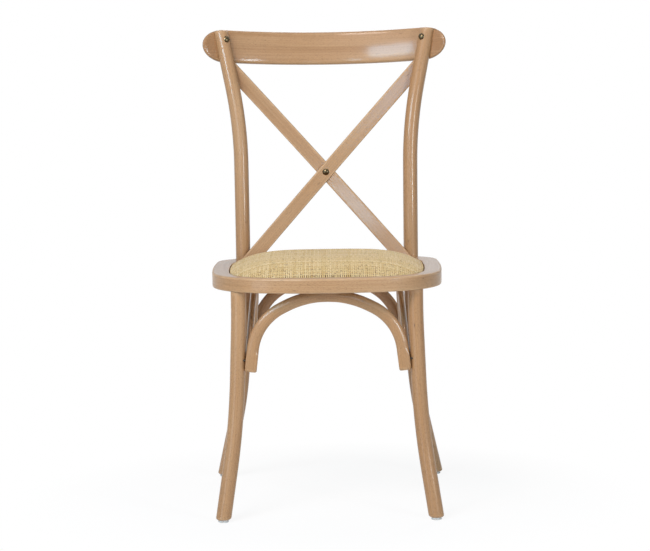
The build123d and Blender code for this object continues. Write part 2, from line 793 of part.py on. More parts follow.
with BuildPart() as cross_nut:
    cap_nut(cross_nut_seat)
cross_nut.part.label = "cross_nut"
export_step(cross_nut.part, "parts/cross_nut.step")

# Bolts and cap nuts of the top rail
with BuildPart() as rail_bolts:
    for side in sides.values():
        bolt(rail_bolt_seat(side), rail_grip() + cap_depth - bolt_clearance)
rail_bolts.part.label = "rail_bolts"
export_step(rail_bolts.part, "parts/rail_bolts.step")

with BuildPart() as rail_nuts:
    for side in sides.values():
        cap_nut(rail_nut_seat(side))
rail_nuts.part.label = "rail_nuts"
export_step(rail_nuts.part, "parts/rail_nuts.step")

# Bolts through the posts into barrel nuts in the seat frame
with BuildPart() as seat_bolts:
    for side in sides.values():
        bolt(seat_bolt_seat(side), seat_bolt_length)
seat_bolts.part.label = "seat_bolts"
export_step(seat_bolts.part, "parts/seat_bolts.step")

with BuildPart() as barrel_nuts:
    for side in sides.values():
        with Locations((side * post_x, post_y - seat_bolt_reach, seat_middle)):
            Cylinder(barrel_diameter / 2, barrel_length)
    for side in sides.values():
        drill(seat_bolt_seat(side), 2 * seat_bolt_length, bolt_hole)
barrel_nuts.part.label = "barrel_nuts"
export_step(barrel_nuts.part, "parts/barrel_nuts.step")

# Wood screws
with BuildPart() as crown_screws:
    for plane, _, _ in arches.values():
        screw(crown_seat(plane), crown_screw_length)
crown_screws.part.label = "crown_screws"
export_step(crown_screws.part, "parts/crown_screws.step")

with BuildPart() as arch_end_screws:
    for side in sides.values():
        for name in ("front_arch", "back_arch"):
            screw(cross_end_seat(name, side), cross_end_length)
        for end in (-1, 1):
            screw(side_end_seat(side, end), side_end_length)
arch_end_screws.part.label = "arch_end_screws"
export_step(arch_end_screws.part, "parts/arch_end_screws.step")

with BuildPart() as slat_screws:
    for side in sides.values():
        screw(slat_screw_seat(side), slat_screw_length)
slat_screws.part.label = "slat_screws"
export_step(slat_screws.part, "parts/slat_screws.step")

with BuildPart() as panel_screws:
    for seat in panel_seats:
        screw(seat, panel_screw_length)
panel_screws.part.label = "panel_screws"
export_step(panel_screws.part, "parts/panel_screws.step")
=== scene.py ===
"""Looks of a cross-back bentwood dining chair with a woven cane seat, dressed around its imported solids.

Sizes are metres in the chair's own frame: X across, Y from front to back, Z up from the floor, left is -X.
Every wooden member is a section carried along a bent line. Each face corner keeps its place in the straight
timber before bending, so that the grain follows the bend.
"""

import logging
import math
from collections.abc import Iterator
from dataclasses import dataclass
from enum import Enum
from typing import ClassVar

import bmesh
import bpy
import numpy as np
from mathutils import Matrix, Vector


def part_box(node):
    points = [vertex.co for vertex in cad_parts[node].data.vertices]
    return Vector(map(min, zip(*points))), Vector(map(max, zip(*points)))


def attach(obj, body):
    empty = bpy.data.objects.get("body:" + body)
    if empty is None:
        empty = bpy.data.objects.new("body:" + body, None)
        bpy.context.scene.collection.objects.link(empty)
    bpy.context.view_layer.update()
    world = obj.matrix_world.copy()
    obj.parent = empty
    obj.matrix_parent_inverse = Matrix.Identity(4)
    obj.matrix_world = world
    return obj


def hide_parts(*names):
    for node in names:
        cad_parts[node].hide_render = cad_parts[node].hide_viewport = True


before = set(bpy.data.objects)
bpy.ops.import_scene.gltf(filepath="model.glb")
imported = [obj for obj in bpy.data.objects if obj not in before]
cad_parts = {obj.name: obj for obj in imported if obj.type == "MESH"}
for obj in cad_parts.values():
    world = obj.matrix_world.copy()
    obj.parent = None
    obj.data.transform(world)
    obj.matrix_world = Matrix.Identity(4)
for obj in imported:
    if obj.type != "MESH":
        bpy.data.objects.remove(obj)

log = logging.getLogger("chair")
Array = np.ndarray
Node = bpy.types.Node
Piece = bpy.types.Object
Socket = bpy.types.NodeSocket
Colour = tuple[float, float, float, float]
UP = np.array([0.0, 0.0, 1.0])
ACROSS = np.array([1.0, 0.0, 0.0])
BACKWARD = np.array([0.0, 1.0, 0.0])
BODY = "root"
SEED = 7
NEWTON_STEPS = 6
CORNER_POINTS = 6
MERGE_DISTANCE = 1e-6


class Side(Enum):
    """Side of the chair as seen from its front."""

    LEFT = -1
    RIGHT = 1

    @property
    def word(self) -> str:
        """Name used in piece names."""
        return self.name.lower()


class Run(Enum):
    """Direction in which a set of cane strands runs."""

    LENGTHWISE = "lengthwise"
    CROSSWISE = "crosswise"


# Small mathematics on whole arrays


def unit(vectors: Array) -> Array:
    """Vectors scaled to length 1 along their last axis."""
    return vectors / np.linalg.norm(vectors, axis=-1, keepdims=True)


def eased(value: Array, low: float, high: float) -> Array:
    """Smooth step: 0 below low, 1 above high, and 3t^2 - 2t^3 between them."""
    share = np.clip((value - low) / (high - low), 0.0, 1.0)
    return share * share * (3.0 - 2.0 * share)


def worn_ends(stations: Array, length: float, reach: float) -> Array:
    """Wear along a member of a given length: 1 at both ends, eased to 0 within a reach of them."""
    return np.maximum(1.0 - eased(stations, 0.0, reach), eased(stations, length - reach, length))


def circle_through(first: Array, second: Array, third: Array) -> tuple[Array, float]:
    """Circle through three points of a plane: its centre is as far from each of them.

    Args:
        first: First point.
        second: Second point.
        third: Third point.

    Returns:
        Centre and radius.
    """
    rows = 2.0 * np.array([second - first, third - first])
    squares = np.array([second @ second - first @ first, third @ third - first @ first])
    centre = np.linalg.solve(rows, squares)
    return centre, float(np.linalg.norm(first - centre))


def arc_points(centre: Array, radius: float, start: Array, end: Array, count: int) -> Array:
    """Points on the shorter arc between two points of a circle: centre + radius * (cos a, sin a).

    Args:
        centre: Centre of the circle.
        radius: Its radius.
        start: First point on it.
        end: Last point on it.
        count: Number of points.

    Returns:
        Array of count points.
    """
    first = math.atan2(start[1] - centre[1], start[0] - centre[0])
    turn = math.atan2(end[1] - centre[1], end[0] - centre[0]) - first
    turn = (turn + math.pi) % (2.0 * math.pi) - math.pi
    angles = first + turn * np.linspace(0.0, 1.0, count)
    return centre + radius * np.stack([np.cos(angles), np.sin(angles)], -1)


def evenly(points: Array, count: int) -> Array:
    """Points spaced evenly by length along an open line of points.

    Args:
        points: Points of the line, close together.
        count: Number of points wanted.

    Returns:
        Array of count points.
    """
    steps = np.linalg.norm(np.diff(points, axis=0), axis=1)
    lengths = np.concatenate([[0.0], np.cumsum(steps)])
    wanted = np.linspace(0.0, lengths[-1], count)
    return np.stack([np.interp(wanted, lengths, axis) for axis in points.T], -1)


def rounded_section(width: float, height: float, power: Array, angle: Array) -> Array:
    """Closed sections between a rectangle and an oval: |2x / width|^p + |2y / height|^p = 1.

    Args:
        width: Full size along x.
        height: Full size along y.
        power: Power at each point, of which 2 gives an oval and larger ones are squarer.
        angle: Angle of each point round its section.

    Returns:
        Array of points, with one more axis than the powers.
    """
    cosine, sine = np.cos(angle), np.sin(angle)
    reach = (np.abs(cosine) ** power + np.abs(sine) ** power) ** (-1.0 / power)
    return np.stack([0.5 * width * reach * cosine, 0.5 * height * reach * sine], -1)


def rounded_bar(width: float, height: float, corner: float, spacing: float) -> Array:
    """Closed rectangle with round corners: a quarter circle at each corner, joined by straight sides.

    Args:
        width: Full size along x.
        height: Full size along y.
        corner: Radius of the corners.
        spacing: Distance between points along the sides.

    Returns:
        Array of points round the section.
    """
    quarter = np.linspace(0.0, math.pi / 2.0, CORNER_POINTS)
    arc = corner * np.stack([np.cos(quarter), np.sin(quarter)], -1)
    place = np.array([width / 2.0 - corner, height / 2.0 - corner])
    stretches = []
    for turn, signs in enumerate(((1, 1), (-1, 1), (-1, -1), (1, -1))):
        cosine, sine = round(math.cos(turn * math.pi / 2.0)), round(math.sin(turn * math.pi / 2.0))
        stretches.append(arc @ np.array([[cosine, sine], [-sine, cosine]]) + place * signs)
        run = height - 2.0 * corner if turn % 2 else width - 2.0 * corner
        share = np.linspace(0.0, 1.0, max(2, int(run / spacing)) + 1)[1:-1, None]
        stretches.append(stretches[-1][-1] + share * run * np.array([-cosine, -sine]))
    return np.concatenate(stretches)


def srgb(red: int, green: int, blue: int) -> Colour:
    """Linear colour of a screen colour given from 0 to 255.

    Args:
        red: Red share.
        green: Green share.
        blue: Blue share.

    Returns:
        Linear colour with full alpha.
    """
    screen = np.array([red, green, blue]) / 255.0
    linear = np.where(screen <= 0.04045, screen / 12.92, ((screen + 0.055) / 1.055) ** 2.4)
    return (float(linear[0]), float(linear[1]), float(linear[2]), 1.0)


# Lines and surfaces


@dataclass(frozen=True)
class BentLine:
    """Centre line sampled closely: points, unit tangents and lengths from its start."""

    points: Array
    tangents: Array
    lengths: Array

    @classmethod
    def along(cls, points: Array) -> "BentLine":
        """Line through points that already lie close together.

        Args:
            points: Points of the line in order.

        Returns:
            The line with its tangents and lengths.
        """
        steps = np.linalg.norm(np.diff(points, axis=0), axis=1)
        lengths = np.concatenate([[0.0], np.cumsum(steps)])
        return cls(points, unit(np.gradient(points, lengths, axis=0)), lengths)

    @classmethod
    def rounded(cls, corners: Array, radii: Array, step: float = 0.002) -> "BentLine":
        """Straight runs joined by tangent arcs.

        At each corner the arc starts radius * tan(turn / 2) before the corner. Its points are
        start + radius * (sin a * run in + (1 - cos a) * inward) as a goes from 0 to the turn.

        Args:
            corners: Corners of the route.
            radii: Radius at each inner corner.
            step: Spacing of the points.

        Returns:
            The line with its tangents and lengths.
        """
        runs = unit(np.diff(corners, axis=0))
        stretches = []
        place = corners[0]
        for corner, before, after, radius in zip(corners[1:-1], runs[:-1], runs[1:], radii):
            turn = math.acos(float(np.clip(before @ after, -1.0, 1.0)))
            start = corner - before * radius * math.tan(turn / 2.0)
            inward = unit(after - before * (before @ after))
            angle = np.linspace(0.0, turn, max(3, int(radius * turn / step)))[:, None]
            stretches.append(cls._straight(place, start, step))
            stretches.append(start + radius * (np.sin(angle) * before + (1.0 - np.cos(angle)) * inward))
            place = stretches[-1][-1]
        stretches.append(cls._straight(place, corners[-1], step))
        points = np.concatenate(stretches)
        keep = np.linalg.norm(np.diff(points, axis=0, prepend=points[:1] - 1.0), axis=1) > step * 0.01
        return cls.along(points[keep])

    @staticmethod
    def _straight(start: Array, end: Array, step: float) -> Array:
        """Points of a straight run."""
        count = max(2, int(np.linalg.norm(end - start) / step))
        return start + (end - start) * np.linspace(0.0, 1.0, count)[:, None]

    @property
    def length(self) -> float:
        """Whole length of the line."""
        return float(self.lengths[-1])

    def at(self, lengths: Array) -> tuple[Array, Array]:
        """Points and tangents at lengths along the line, straight on past its ends.

        Args:
            lengths: Lengths in an array of any shape.

        Returns:
            Points and unit tangents, with one more axis than the lengths.
        """
        inside = np.clip(lengths, 0.0, self.length)
        points = np.stack([np.interp(inside, self.lengths, axis) for axis in self.points.T], -1)
        tangents = unit(np.stack([np.interp(inside, self.lengths, axis) for axis in self.tangents.T], -1))
        return points + (lengths - inside)[..., None] * tangents, tangents

    def at_height(self, height: float) -> Array:
        """Point at which a rising line reaches a height above the floor."""
        point, _tangent = self.at(np.array(np.interp(height, self.points[:, 2], self.lengths)))
        return point

    def carry(self, reference: Array, lengths: Array, section: Array) -> tuple[Array, Array]:
        """Section carried along the line: point = line + x * side + y * face.

        The side direction is the reference made square to the tangent, and face is tangent x side.

        Args:
            reference: Direction that the section's x axis keeps closest to.
            lengths: Length along the line of each point of the grid.
            section: Section x and y of each point of the grid.

        Returns:
            Points of the grid, and their places in the straight timber: along, x and y.
        """
        centre, tangent = self.at(lengths)
        side = unit(reference - (tangent @ reference)[..., None] * tangent)
        face = np.cross(tangent, side)
        points = centre + section[..., 0:1] * side + section[..., 1:2] * face
        places = np.concatenate([lengths[..., None], np.broadcast_to(section, points.shape[:-1] + (2,))], -1)
        return points, places

    def meet(self, reference: Array, section: Array, start: float, origin: Array, normal: Array) -> Array:
        """Length at which each line of a carried section meets a plane, by Newton's steps.

        Args:
            reference: Direction that the section's x axis keeps closest to.
            section: Points of the section.
            start: Length to start from.
            origin: Point of the plane.
            normal: Normal of the plane.

        Returns:
            One length for each point of the section.
        """
        lengths = np.full(len(section), start)
        for _ in range(NEWTON_STEPS):
            points, _places = self.carry(reference, lengths, section)
            _centre, tangent = self.at(lengths)
            lengths = lengths - ((points - origin) @ normal) / (tangent @ normal)
        return lengths


@dataclass(frozen=True)
class Recess:
    """Round flat-bottomed recess for the head of a bolt or screw.

    The centre is the middle of its floor, outward the direction in which it opens.
    """

    centre: Array
    outward: Array
    radius: float
    reach: float = 0.010
    row_reach: float = 1.4
    row_step: float = 0.0005

    def sink(self, points: Array) -> Array:
        """Moves points above the floor, within the radius, straight down onto it.

        Args:
            points: Grid of points.

        Returns:
            Grid of the same shape.
        """
        offsets = points - self.centre
        above = offsets @ self.outward
        aside = np.linalg.norm(offsets - above[..., None] * self.outward, axis=-1)
        inside = (aside < self.radius) & (above > 0.0) & (above < self.reach)
        return points - np.where(inside, above, 0.0)[..., None] * self.outward

    def station(self, line: BentLine) -> float:
        """Length along a line at which it passes this recess."""
        return float(line.lengths[np.argmin(np.linalg.norm(line.points - self.centre, axis=1))])

    def rows(self, line: BentLine) -> Array:
        """Lengths along a line at which a grid needs close rows for this recess."""
        half = self.row_reach * self.radius
        return self.station(line) + np.arange(-half, half, self.row_step)


@dataclass
class Surface:
    """Closed mesh in the making, with values at its face corners.

    The values are the place in the straight timber (along, across, deep), the rub, which is 1 on edges
    that hands wear, and the tone, one number for each member or strand, with painted shade added along the
    rail's ears and on the front and back arches, and painted light on the side arches.
    """

    vertices: Array
    quads: Array
    triangles: Array
    quad_values: Array
    triangle_values: Array
    folded: bool = False

    @classmethod
    def from_grid(cls, points: Array, values: Array, seam: Array | None = None,
                  folded: bool = False) -> "Surface":
        """Quads between the points of a grid whose columns close on themselves.

        Args:
            points: Grid of points, rows by columns by 3.
            values: Grid of values, rows by columns by 5.
            seam: Values of the first row as the last row meets it, where the rows close on themselves
                too. Without it each end is closed by a fan to the middle of its row.
            folded: Whether the end rows fold flat onto themselves instead, so that merging closes them.

        Returns:
            The surface, facing outwards.
        """
        rows, columns = points.shape[:2]
        index = np.arange(rows * columns).reshape(rows, columns)
        vertices = points.reshape(-1, 3)
        if seam is not None:
            index = np.concatenate([index, index[:1]])
            values = np.concatenate([values, seam])
        index = np.concatenate([index, index[:, :1]], axis=1)
        values = np.concatenate([values, values[:, :1]], axis=1)
        quads = cls._cells(index).reshape(-1, 4)
        quad_values = cls._cells(values).reshape(-1, 4, values.shape[-1])
        triangles = np.zeros((0, 3), int)
        triangle_values = np.zeros((0, 3, values.shape[-1]))
        if seam is None and not folded:
            fans, fan_values, poles = cls._fans(points, index, values)
            triangles, triangle_values = fans, fan_values
            vertices = np.concatenate([vertices, poles])
        surface = cls(vertices, quads, triangles, quad_values, triangle_values, folded)
        if surface.volume() < 0.0:
            surface.flip()
        return surface

    @staticmethod
    def _cells(grid: Array) -> Array:
        """The four corners of each cell of a grid, in order round the cell."""
        return np.stack([grid[:-1, :-1], grid[1:, :-1], grid[1:, 1:], grid[:-1, 1:]], axis=2)

    @staticmethod
    def _fans(points: Array, index: Array, values: Array) -> tuple[Array, Array, Array]:
        """Fans that close the first and last row of a grid.

        Args:
            points: Grid of points.
            index: Number of each point, with the first column again at the end.
            values: Values of each point, with the first column again at the end.

        Returns:
            Triangles, the values at their corners, and the two middle points.
        """
        count = points.shape[0] * points.shape[1]
        poles = np.stack([points[0].mean(axis=0), points[-1].mean(axis=0)])
        first = np.stack([index[0, 1:], index[0, :-1], np.full(index.shape[1] - 1, count)], -1)
        last = np.stack([index[-1, :-1], index[-1, 1:], np.full(index.shape[1] - 1, count + 1)], -1)
        middles = [np.broadcast_to(values[row, :-1].mean(axis=0), values[row, 1:].shape) for row in (0, -1)]
        first_values = np.stack([values[0, 1:], values[0, :-1], middles[0]], 1)
        last_values = np.stack([values[-1, :-1], values[-1, 1:], middles[1]], 1)
        return np.concatenate([first, last]), np.concatenate([first_values, last_values]), poles

    @classmethod
    def from_tubes(cls, points: Array, values: Array) -> "Surface":
        """Many four-sided tubes at once, each closed by a quad at both ends.

        Args:
            points: Tubes by rows by 4 by 3.
            values: Tubes by rows by 4 by 5.

        Returns:
            The surface of all the tubes.
        """
        tubes, rows, sides = points.shape[:3]
        index = np.arange(tubes * rows * sides).reshape(tubes, rows, sides)
        ring = np.concatenate([index, index[:, :, :1]], axis=2)
        ring_values = np.concatenate([values, values[:, :, :1]], axis=2)
        near, far = slice(None, -1), slice(1, None)
        corners = ((near, near), (far, near), (far, far), (near, far))
        walls = np.stack([ring[:, row, column] for row, column in corners], -1).reshape(-1, 4)
        wall_values = np.stack([ring_values[:, row, column] for row, column in corners], -2)
        wall_values = wall_values.reshape(-1, 4, values.shape[-1])
        quads = np.concatenate([walls, index[:, 0], index[:, -1, ::-1]])
        quad_values = np.concatenate([wall_values, values[:, 0], values[:, -1, ::-1]])
        surface = cls(points.reshape(-1, 3), quads, np.zeros((0, 3), int), quad_values,
                      np.zeros((0, 3, values.shape[-1])))
        if surface.volume() < 0.0:
            surface.flip()
        return surface

    def volume(self) -> float:
        """Signed volume: the sum of a . (b x c) / 6 over all triangles.

        Returns:
            The volume, positive when the faces point outwards.
        """
        corners = np.concatenate([self.quads[:, [0, 1, 2]], self.quads[:, [0, 2, 3]], self.triangles])
        first, second, third = (self.vertices[corners[:, column]] for column in range(3))
        return float(np.einsum("ij,ij->", first, np.cross(second, third)) / 6.0)

    def flip(self) -> None:
        """Turns every face round."""
        self.quads, self.quad_values = self.quads[:, ::-1], self.quad_values[:, ::-1]
        self.triangles, self.triangle_values = self.triangles[:, ::-1], self.triangle_values[:, ::-1]

    def piece(self, name: str, crease: float = 40.0) -> Piece:
        """Mesh object of the surface, riding on the chair.

        Args:
            name: Name of the piece.
            crease: Angle in degrees above which an edge between faces stays sharp.

        Returns:
            The object, linked to the scene.
        """
        mesh = bpy.data.meshes.new(name)
        corners = np.concatenate([self.quads.ravel(), self.triangles.ravel()]).astype(np.int32)
        quad_starts = 4 * np.arange(len(self.quads))
        triangle_starts = 4 * len(self.quads) + 3 * np.arange(len(self.triangles))
        starts = np.concatenate([quad_starts, triangle_starts]).astype(np.int32)
        mesh.vertices.add(len(self.vertices))
        mesh.vertices.foreach_set("co", self.vertices.astype(np.float32).ravel())
        mesh.loops.add(len(corners))
        mesh.loops.foreach_set("vertex_index", corners)
        mesh.polygons.add(len(starts))
        mesh.polygons.foreach_set("loop_start", starts)
        mesh.polygons.foreach_set("use_smooth", np.ones(len(starts), bool))
        mesh.update(calc_edges=True)
        width = self.quad_values.shape[-1]
        values = np.concatenate([self.quad_values.reshape(-1, width),
                                 self.triangle_values.reshape(-1, width)])
        grain = mesh.attributes.new("grain", "FLOAT_VECTOR", "CORNER")
        grain.data.foreach_set("vector", values[:, :3].astype(np.float32).ravel())
        for column, label in ((3, "rub"), (4, "tone")):
            attribute = mesh.attributes.new(label, "FLOAT", "CORNER")
            attribute.data.foreach_set("value", np.ascontiguousarray(values[:, column], np.float32))
        mesh.validate()
        if self.folded:
            merged = bmesh.new()
            merged.from_mesh(mesh)
            bmesh.ops.remove_doubles(merged, verts=merged.verts, dist=MERGE_DISTANCE)
            merged.to_mesh(mesh)
            merged.free()
        mesh.set_sharp_from_angle(angle=math.radians(crease))
        made = bpy.data.objects.new(name, mesh)
        bpy.context.scene.collection.objects.link(made)
        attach(made, BODY)
        return made


class Timber:
    """Gives each member its own place in the tree, so that no two members share a pattern."""

    pith_distance: ClassVar[tuple[float, float]] = (0.02, 0.05)
    trunk_length: ClassVar[float] = 9.0

    def __init__(self, seed: int) -> None:
        """Starts the draws from a seed."""
        self.draws = np.random.default_rng(seed)

    def values(self, places: Array, rub: Array, painted_shading: Array | float = 0.0) -> Array:
        """Values of a grid: its places moved to somewhere in the tree, its rub, and its tone with painted
        shading added.

        Args:
            places: Places in the straight timber.
            rub: Wear of each point of the grid.
            painted_shading: Painted shade added to the tone at each point of the grid; values below 0 give
                painted light.

        Returns:
            Grid of five values.
        """
        pith = self.draws.uniform(*self.pith_distance) * self.draws.choice([-1.0, 1.0], 2)
        shift = np.array([self.draws.uniform(0.0, self.trunk_length), pith[0], pith[1]])
        # The tone carries its random share plus the painted shading: above 0 it is painted shade, below 0
        # painted light.
        tone = self.draws.uniform(-1.0, 1.0) + painted_shading
        shades = [np.broadcast_to(shade, places.shape[:-1])[..., None] for shade in (rub, tone)]
        return np.concatenate([places + shift, *shades], -1)


# Shader nodes

Feed = Socket | float | tuple[float, ...]


class Graph:
    """Short hand for adding and linking nodes in one tree."""

    def __init__(self, tree: bpy.types.NodeTree) -> None:
        """Empties the node tree of a material, world or group."""
        self.tree = tree
        tree.nodes.clear()

    def node(self, kind: str, **settings: object) -> Node:
        """Adds a node.

        Args:
            kind: Node type.
            **settings: Properties of the node.

        Returns:
            The node.
        """
        made = self.tree.nodes.new(kind)
        for key, value in settings.items():
            setattr(made, key, value)
        return made

    def feed(self, socket: Socket, value: Feed) -> None:
        """Links a socket to another, or sets its value.

        Args:
            socket: Input to feed.
            value: Output socket, number, vector or colour.
        """
        if isinstance(value, Socket):
            self.tree.links.new(value, socket)
        else:
            socket.default_value = value

    def wire(self, node: Node, **inputs: Feed) -> Node:
        """Feeds inputs of a node by name.

        Args:
            node: The node.
            **inputs: Values or sockets by input name, with _ for a space.

        Returns:
            The node.
        """
        for label, value in inputs.items():
            self.feed(node.inputs[label.replace("_", " ")], value)
        return node

    def math(self, operation: str, first: Feed, second: Feed = 0.0,
             third: Feed = 0.0) -> Socket:
        """Number worked out from up to three others.

        Args:
            operation: Operation of the Math node.
            first: First number.
            second: Second number.
            third: Third number.

        Returns:
            The result.
        """
        made = self.node("ShaderNodeMath", operation=operation)
        for socket, value in zip(made.inputs, (first, second, third)):
            self.feed(socket, value)
        return made.outputs[0]

    def stretch(self, vector: Feed, factors: tuple[float, float, float]) -> Socket:
        """Vector times one factor for each axis.

        Args:
            vector: Vector to stretch.
            factors: Factors along x, y and z.

        Returns:
            The stretched vector.
        """
        made = self.node("ShaderNodeVectorMath", operation="MULTIPLY")
        self.feed(made.inputs[0], vector)
        made.inputs[1].default_value = factors
        return made.outputs[0]

    def noise(self, vector: Feed, detail: float = 2.0, roughness: float = 0.5,
              distortion: float = 0.0) -> Socket:
        """Cloudy noise from 0 to 1.

        Args:
            vector: Place in the pattern.
            detail: Number of finer layers.
            roughness: Strength of the finer layers.
            distortion: How far the pattern is pulled about.

        Returns:
            The value.
        """
        made = self.node("ShaderNodeTexNoise")
        self.wire(made, Vector=vector, Scale=1.0, Detail=detail, Roughness=roughness, Distortion=distortion)
        return made.outputs["Fac"]

    def cells(self, vector: Feed) -> Socket:
        """Distance to the nearest of scattered points.

        Args:
            vector: Place in the pattern.

        Returns:
            The distance.
        """
        made = self.node("ShaderNodeTexVoronoi", feature="F1")
        self.wire(made, Vector=vector, Scale=1.0, Randomness=1.0)
        return made.outputs["Distance"]

    def remap(self, value: Feed, low: float, high: float, to_low: float = 0.0,
              to_high: float = 1.0) -> Socket:
        """Value moved from one range to another, held at its ends.

        Args:
            value: Value to move.
            low: Start of the range it has.
            high: End of the range it has.
            to_low: Start of the range it gets.
            to_high: End of the range it gets.

        Returns:
            The moved value.
        """
        made = self.node("ShaderNodeMapRange", clamp=True)
        self.wire(made, Value=value, From_Min=low, From_Max=high, To_Min=to_low, To_Max=to_high)
        return made.outputs["Result"]

    def mix(self, share: Feed, first: Feed, second: Feed) -> Socket:
        """Colour between two others.

        Args:
            share: Share of the second colour.
            first: First colour.
            second: Second colour.

        Returns:
            The mixed colour.
        """
        made = self.node("ShaderNodeMix", data_type="RGBA", blend_type="MIX")
        for socket, value in ((made.inputs[0], share), (made.inputs[6], first), (made.inputs[7], second)):
            self.feed(socket, value)
        return made.outputs[2]

    def attribute(self, name: str) -> Node:
        """Node that reads one of a piece's own values by name."""
        return self.node("ShaderNodeAttribute", attribute_type="GEOMETRY", attribute_name=name)

    def place(self) -> Socket:
        """Place in the chair's own frame."""
        return self.node("ShaderNodeTexCoord").outputs["Object"]

    def group(self, tree: bpy.types.NodeTree, **inputs: Feed) -> Node:
        """Places a node group.

        Args:
            tree: The group.
            **inputs: Values or sockets by input name, with _ for a space.

        Returns:
            The group's node.
        """
        return self.wire(self.node("ShaderNodeGroup", node_tree=tree), **inputs)


class Effects:
    """Node groups shared by the finishes, each built once."""

    def __init__(self) -> None:
        """Builds every group."""
        self.grain = self._timber_grain()
        self.marks = self._handling_marks()
        self.fibre = self._straw_fibre()

    @staticmethod
    def _group(name: str, inputs: dict[str, str],
               outputs: dict[str, str]) -> tuple[Graph, bpy.types.NodeOutputs, Node]:
        """Empty group with named sockets.

        Args:
            name: Name of the group.
            inputs: Socket types by input name.
            outputs: Socket types by output name.

        Returns:
            The group's graph, the sockets that enter it, and the node that takes its results.
        """
        tree = bpy.data.node_groups.new(name, "ShaderNodeTree")
        for label, kind in inputs.items():
            tree.interface.new_socket(label, in_out="INPUT", socket_type=f"NodeSocket{kind}")
        for label, kind in outputs.items():
            tree.interface.new_socket(label, in_out="OUTPUT", socket_type=f"NodeSocket{kind}")
        graph = Graph(tree)
        return graph, graph.node("NodeGroupInput").outputs, graph.node("NodeGroupOutput")

    def _timber_grain(self) -> bpy.types.NodeTree:
        """Straight-grained timber: broad figure, rings, fine fibres, short flecks and rare dark specks.

        The coordinate is metres along, across and into the timber. Each layer is noise stretched along it.

        Returns:
            The group.
        """
        graph, given, leave = self._group(
            "timber_grain",
            {"Coordinate": "Vector", "Tone": "Float", "Pale": "Color", "Warm": "Color", "Deep": "Color",
             "Fleck": "Color", "Figure": "Float", "Specks": "Float"},
            {"Colour": "Color", "Gloss": "Float", "Height": "Float"},
        )
        place = given["Coordinate"]
        figure = graph.noise(graph.stretch(place, (1.7, 46.0, 46.0)), 4.0, 0.55, 0.5)
        drift = graph.noise(graph.stretch(place, (3.1, 17.0, 17.0)), 2.0, 0.5, 0.3)
        fibre = graph.noise(graph.stretch(place, (16.0, 1300.0, 1300.0)), 3.0, 0.6)
        streak = graph.noise(graph.stretch(place, (5.0, 330.0, 330.0)), 2.0, 0.5)
        fleck = graph.noise(graph.stretch(place, (300.0, 2100.0, 2100.0)), 0.0)
        parts = graph.node("ShaderNodeSeparateXYZ")
        graph.feed(parts.inputs[0], place)
        radius = graph.math("SQRT", graph.math("ADD", graph.math("POWER", parts.outputs[1], 2.0),
                                               graph.math("POWER", parts.outputs[2], 2.0)))
        wander = graph.math("MULTIPLY", drift, 9.0)
        ring = graph.math("SINE", graph.math("MULTIPLY_ADD", radius, 1900.0, wander))
        speck_distance = graph.cells(graph.stretch(place, (33.0, 130.0, 130.0)))
        speck_zone = graph.remap(graph.noise(graph.stretch(place, (7.0, 40.0, 40.0)), 1.0), 0.5, 0.66)
        speck = graph.math("MULTIPLY", graph.remap(speck_distance, 0.17, 0.05), speck_zone)
        speck = graph.math("MULTIPLY", speck, given["Specks"])
        depth = graph.math("MULTIPLY", graph.math("SUBTRACT", figure, 0.5), 1.1)
        depth = graph.math("MULTIPLY_ADD", ring, 0.06, depth)
        depth = graph.math("MULTIPLY_ADD", graph.math("SUBTRACT", streak, 0.5), 0.6, depth)
        depth = graph.math("MULTIPLY_ADD", given["Tone"], 0.14, depth)
        depth = graph.math("MULTIPLY_ADD", depth, given["Figure"], 0.4)
        colour = graph.mix(graph.remap(drift, 0.36, 0.66), given["Pale"], given["Warm"])
        colour = graph.mix(graph.remap(depth, 0.0, 1.0), colour, given["Deep"])
        lines = graph.remap(fibre, 0.5, 0.8, 0.0, 0.34)
        colour = graph.mix(lines, colour, given["Deep"])
        dashes = graph.remap(fleck, 0.62, 0.72, 0.0, 0.4)
        colour = graph.mix(dashes, colour, given["Fleck"])
        colour = graph.mix(graph.math("MULTIPLY", speck, 0.75), colour, given["Fleck"])
        gloss = graph.math("MULTIPLY_ADD", lines, 0.3, graph.math("MULTIPLY", depth, 0.08))
        height = graph.math("SUBTRACT", graph.math("MULTIPLY", fibre, -0.5), dashes)
        graph.wire(leave, Colour=colour, Gloss=gloss, Height=height)
        return graph.tree

    def _handling_marks(self) -> bpy.types.NodeTree:
        """Faint clouds, smudges and hair scratches left by handling, as a mask and as height.

        Returns:
            The group.
        """
        graph, given, leave = self._group(
            "handling_marks",
            {"Coordinate": "Vector", "Scale": "Float"},
            {"Mask": "Float", "Height": "Float"},
        )
        scaled = graph.node("ShaderNodeVectorMath", operation="SCALE")
        graph.feed(scaled.inputs[0], given["Coordinate"])
        graph.feed(scaled.inputs["Scale"], given["Scale"])
        place = scaled.outputs[0]
        cloud = graph.remap(graph.noise(place, 4.0, 0.6), 0.42, 0.72)
        grit = graph.remap(graph.noise(graph.stretch(place, (9.0, 9.0, 9.0)), 3.0, 0.7), 0.5, 0.75)
        scratch = graph.remap(graph.noise(graph.stretch(place, (2.0, 34.0, 3.0)), 1.0, 0.5, 1.5), 0.62, 0.7)
        mask = graph.math("MULTIPLY_ADD", cloud, 0.6, graph.math("MULTIPLY", grit, 0.3))
        mask = graph.math("MULTIPLY_ADD", scratch, 0.35, mask)
        height = graph.math("MULTIPLY_ADD", scratch, -0.5, graph.math("MULTIPLY", grit, 0.5))
        graph.wire(leave, Mask=mask, Height=height)
        return graph.tree

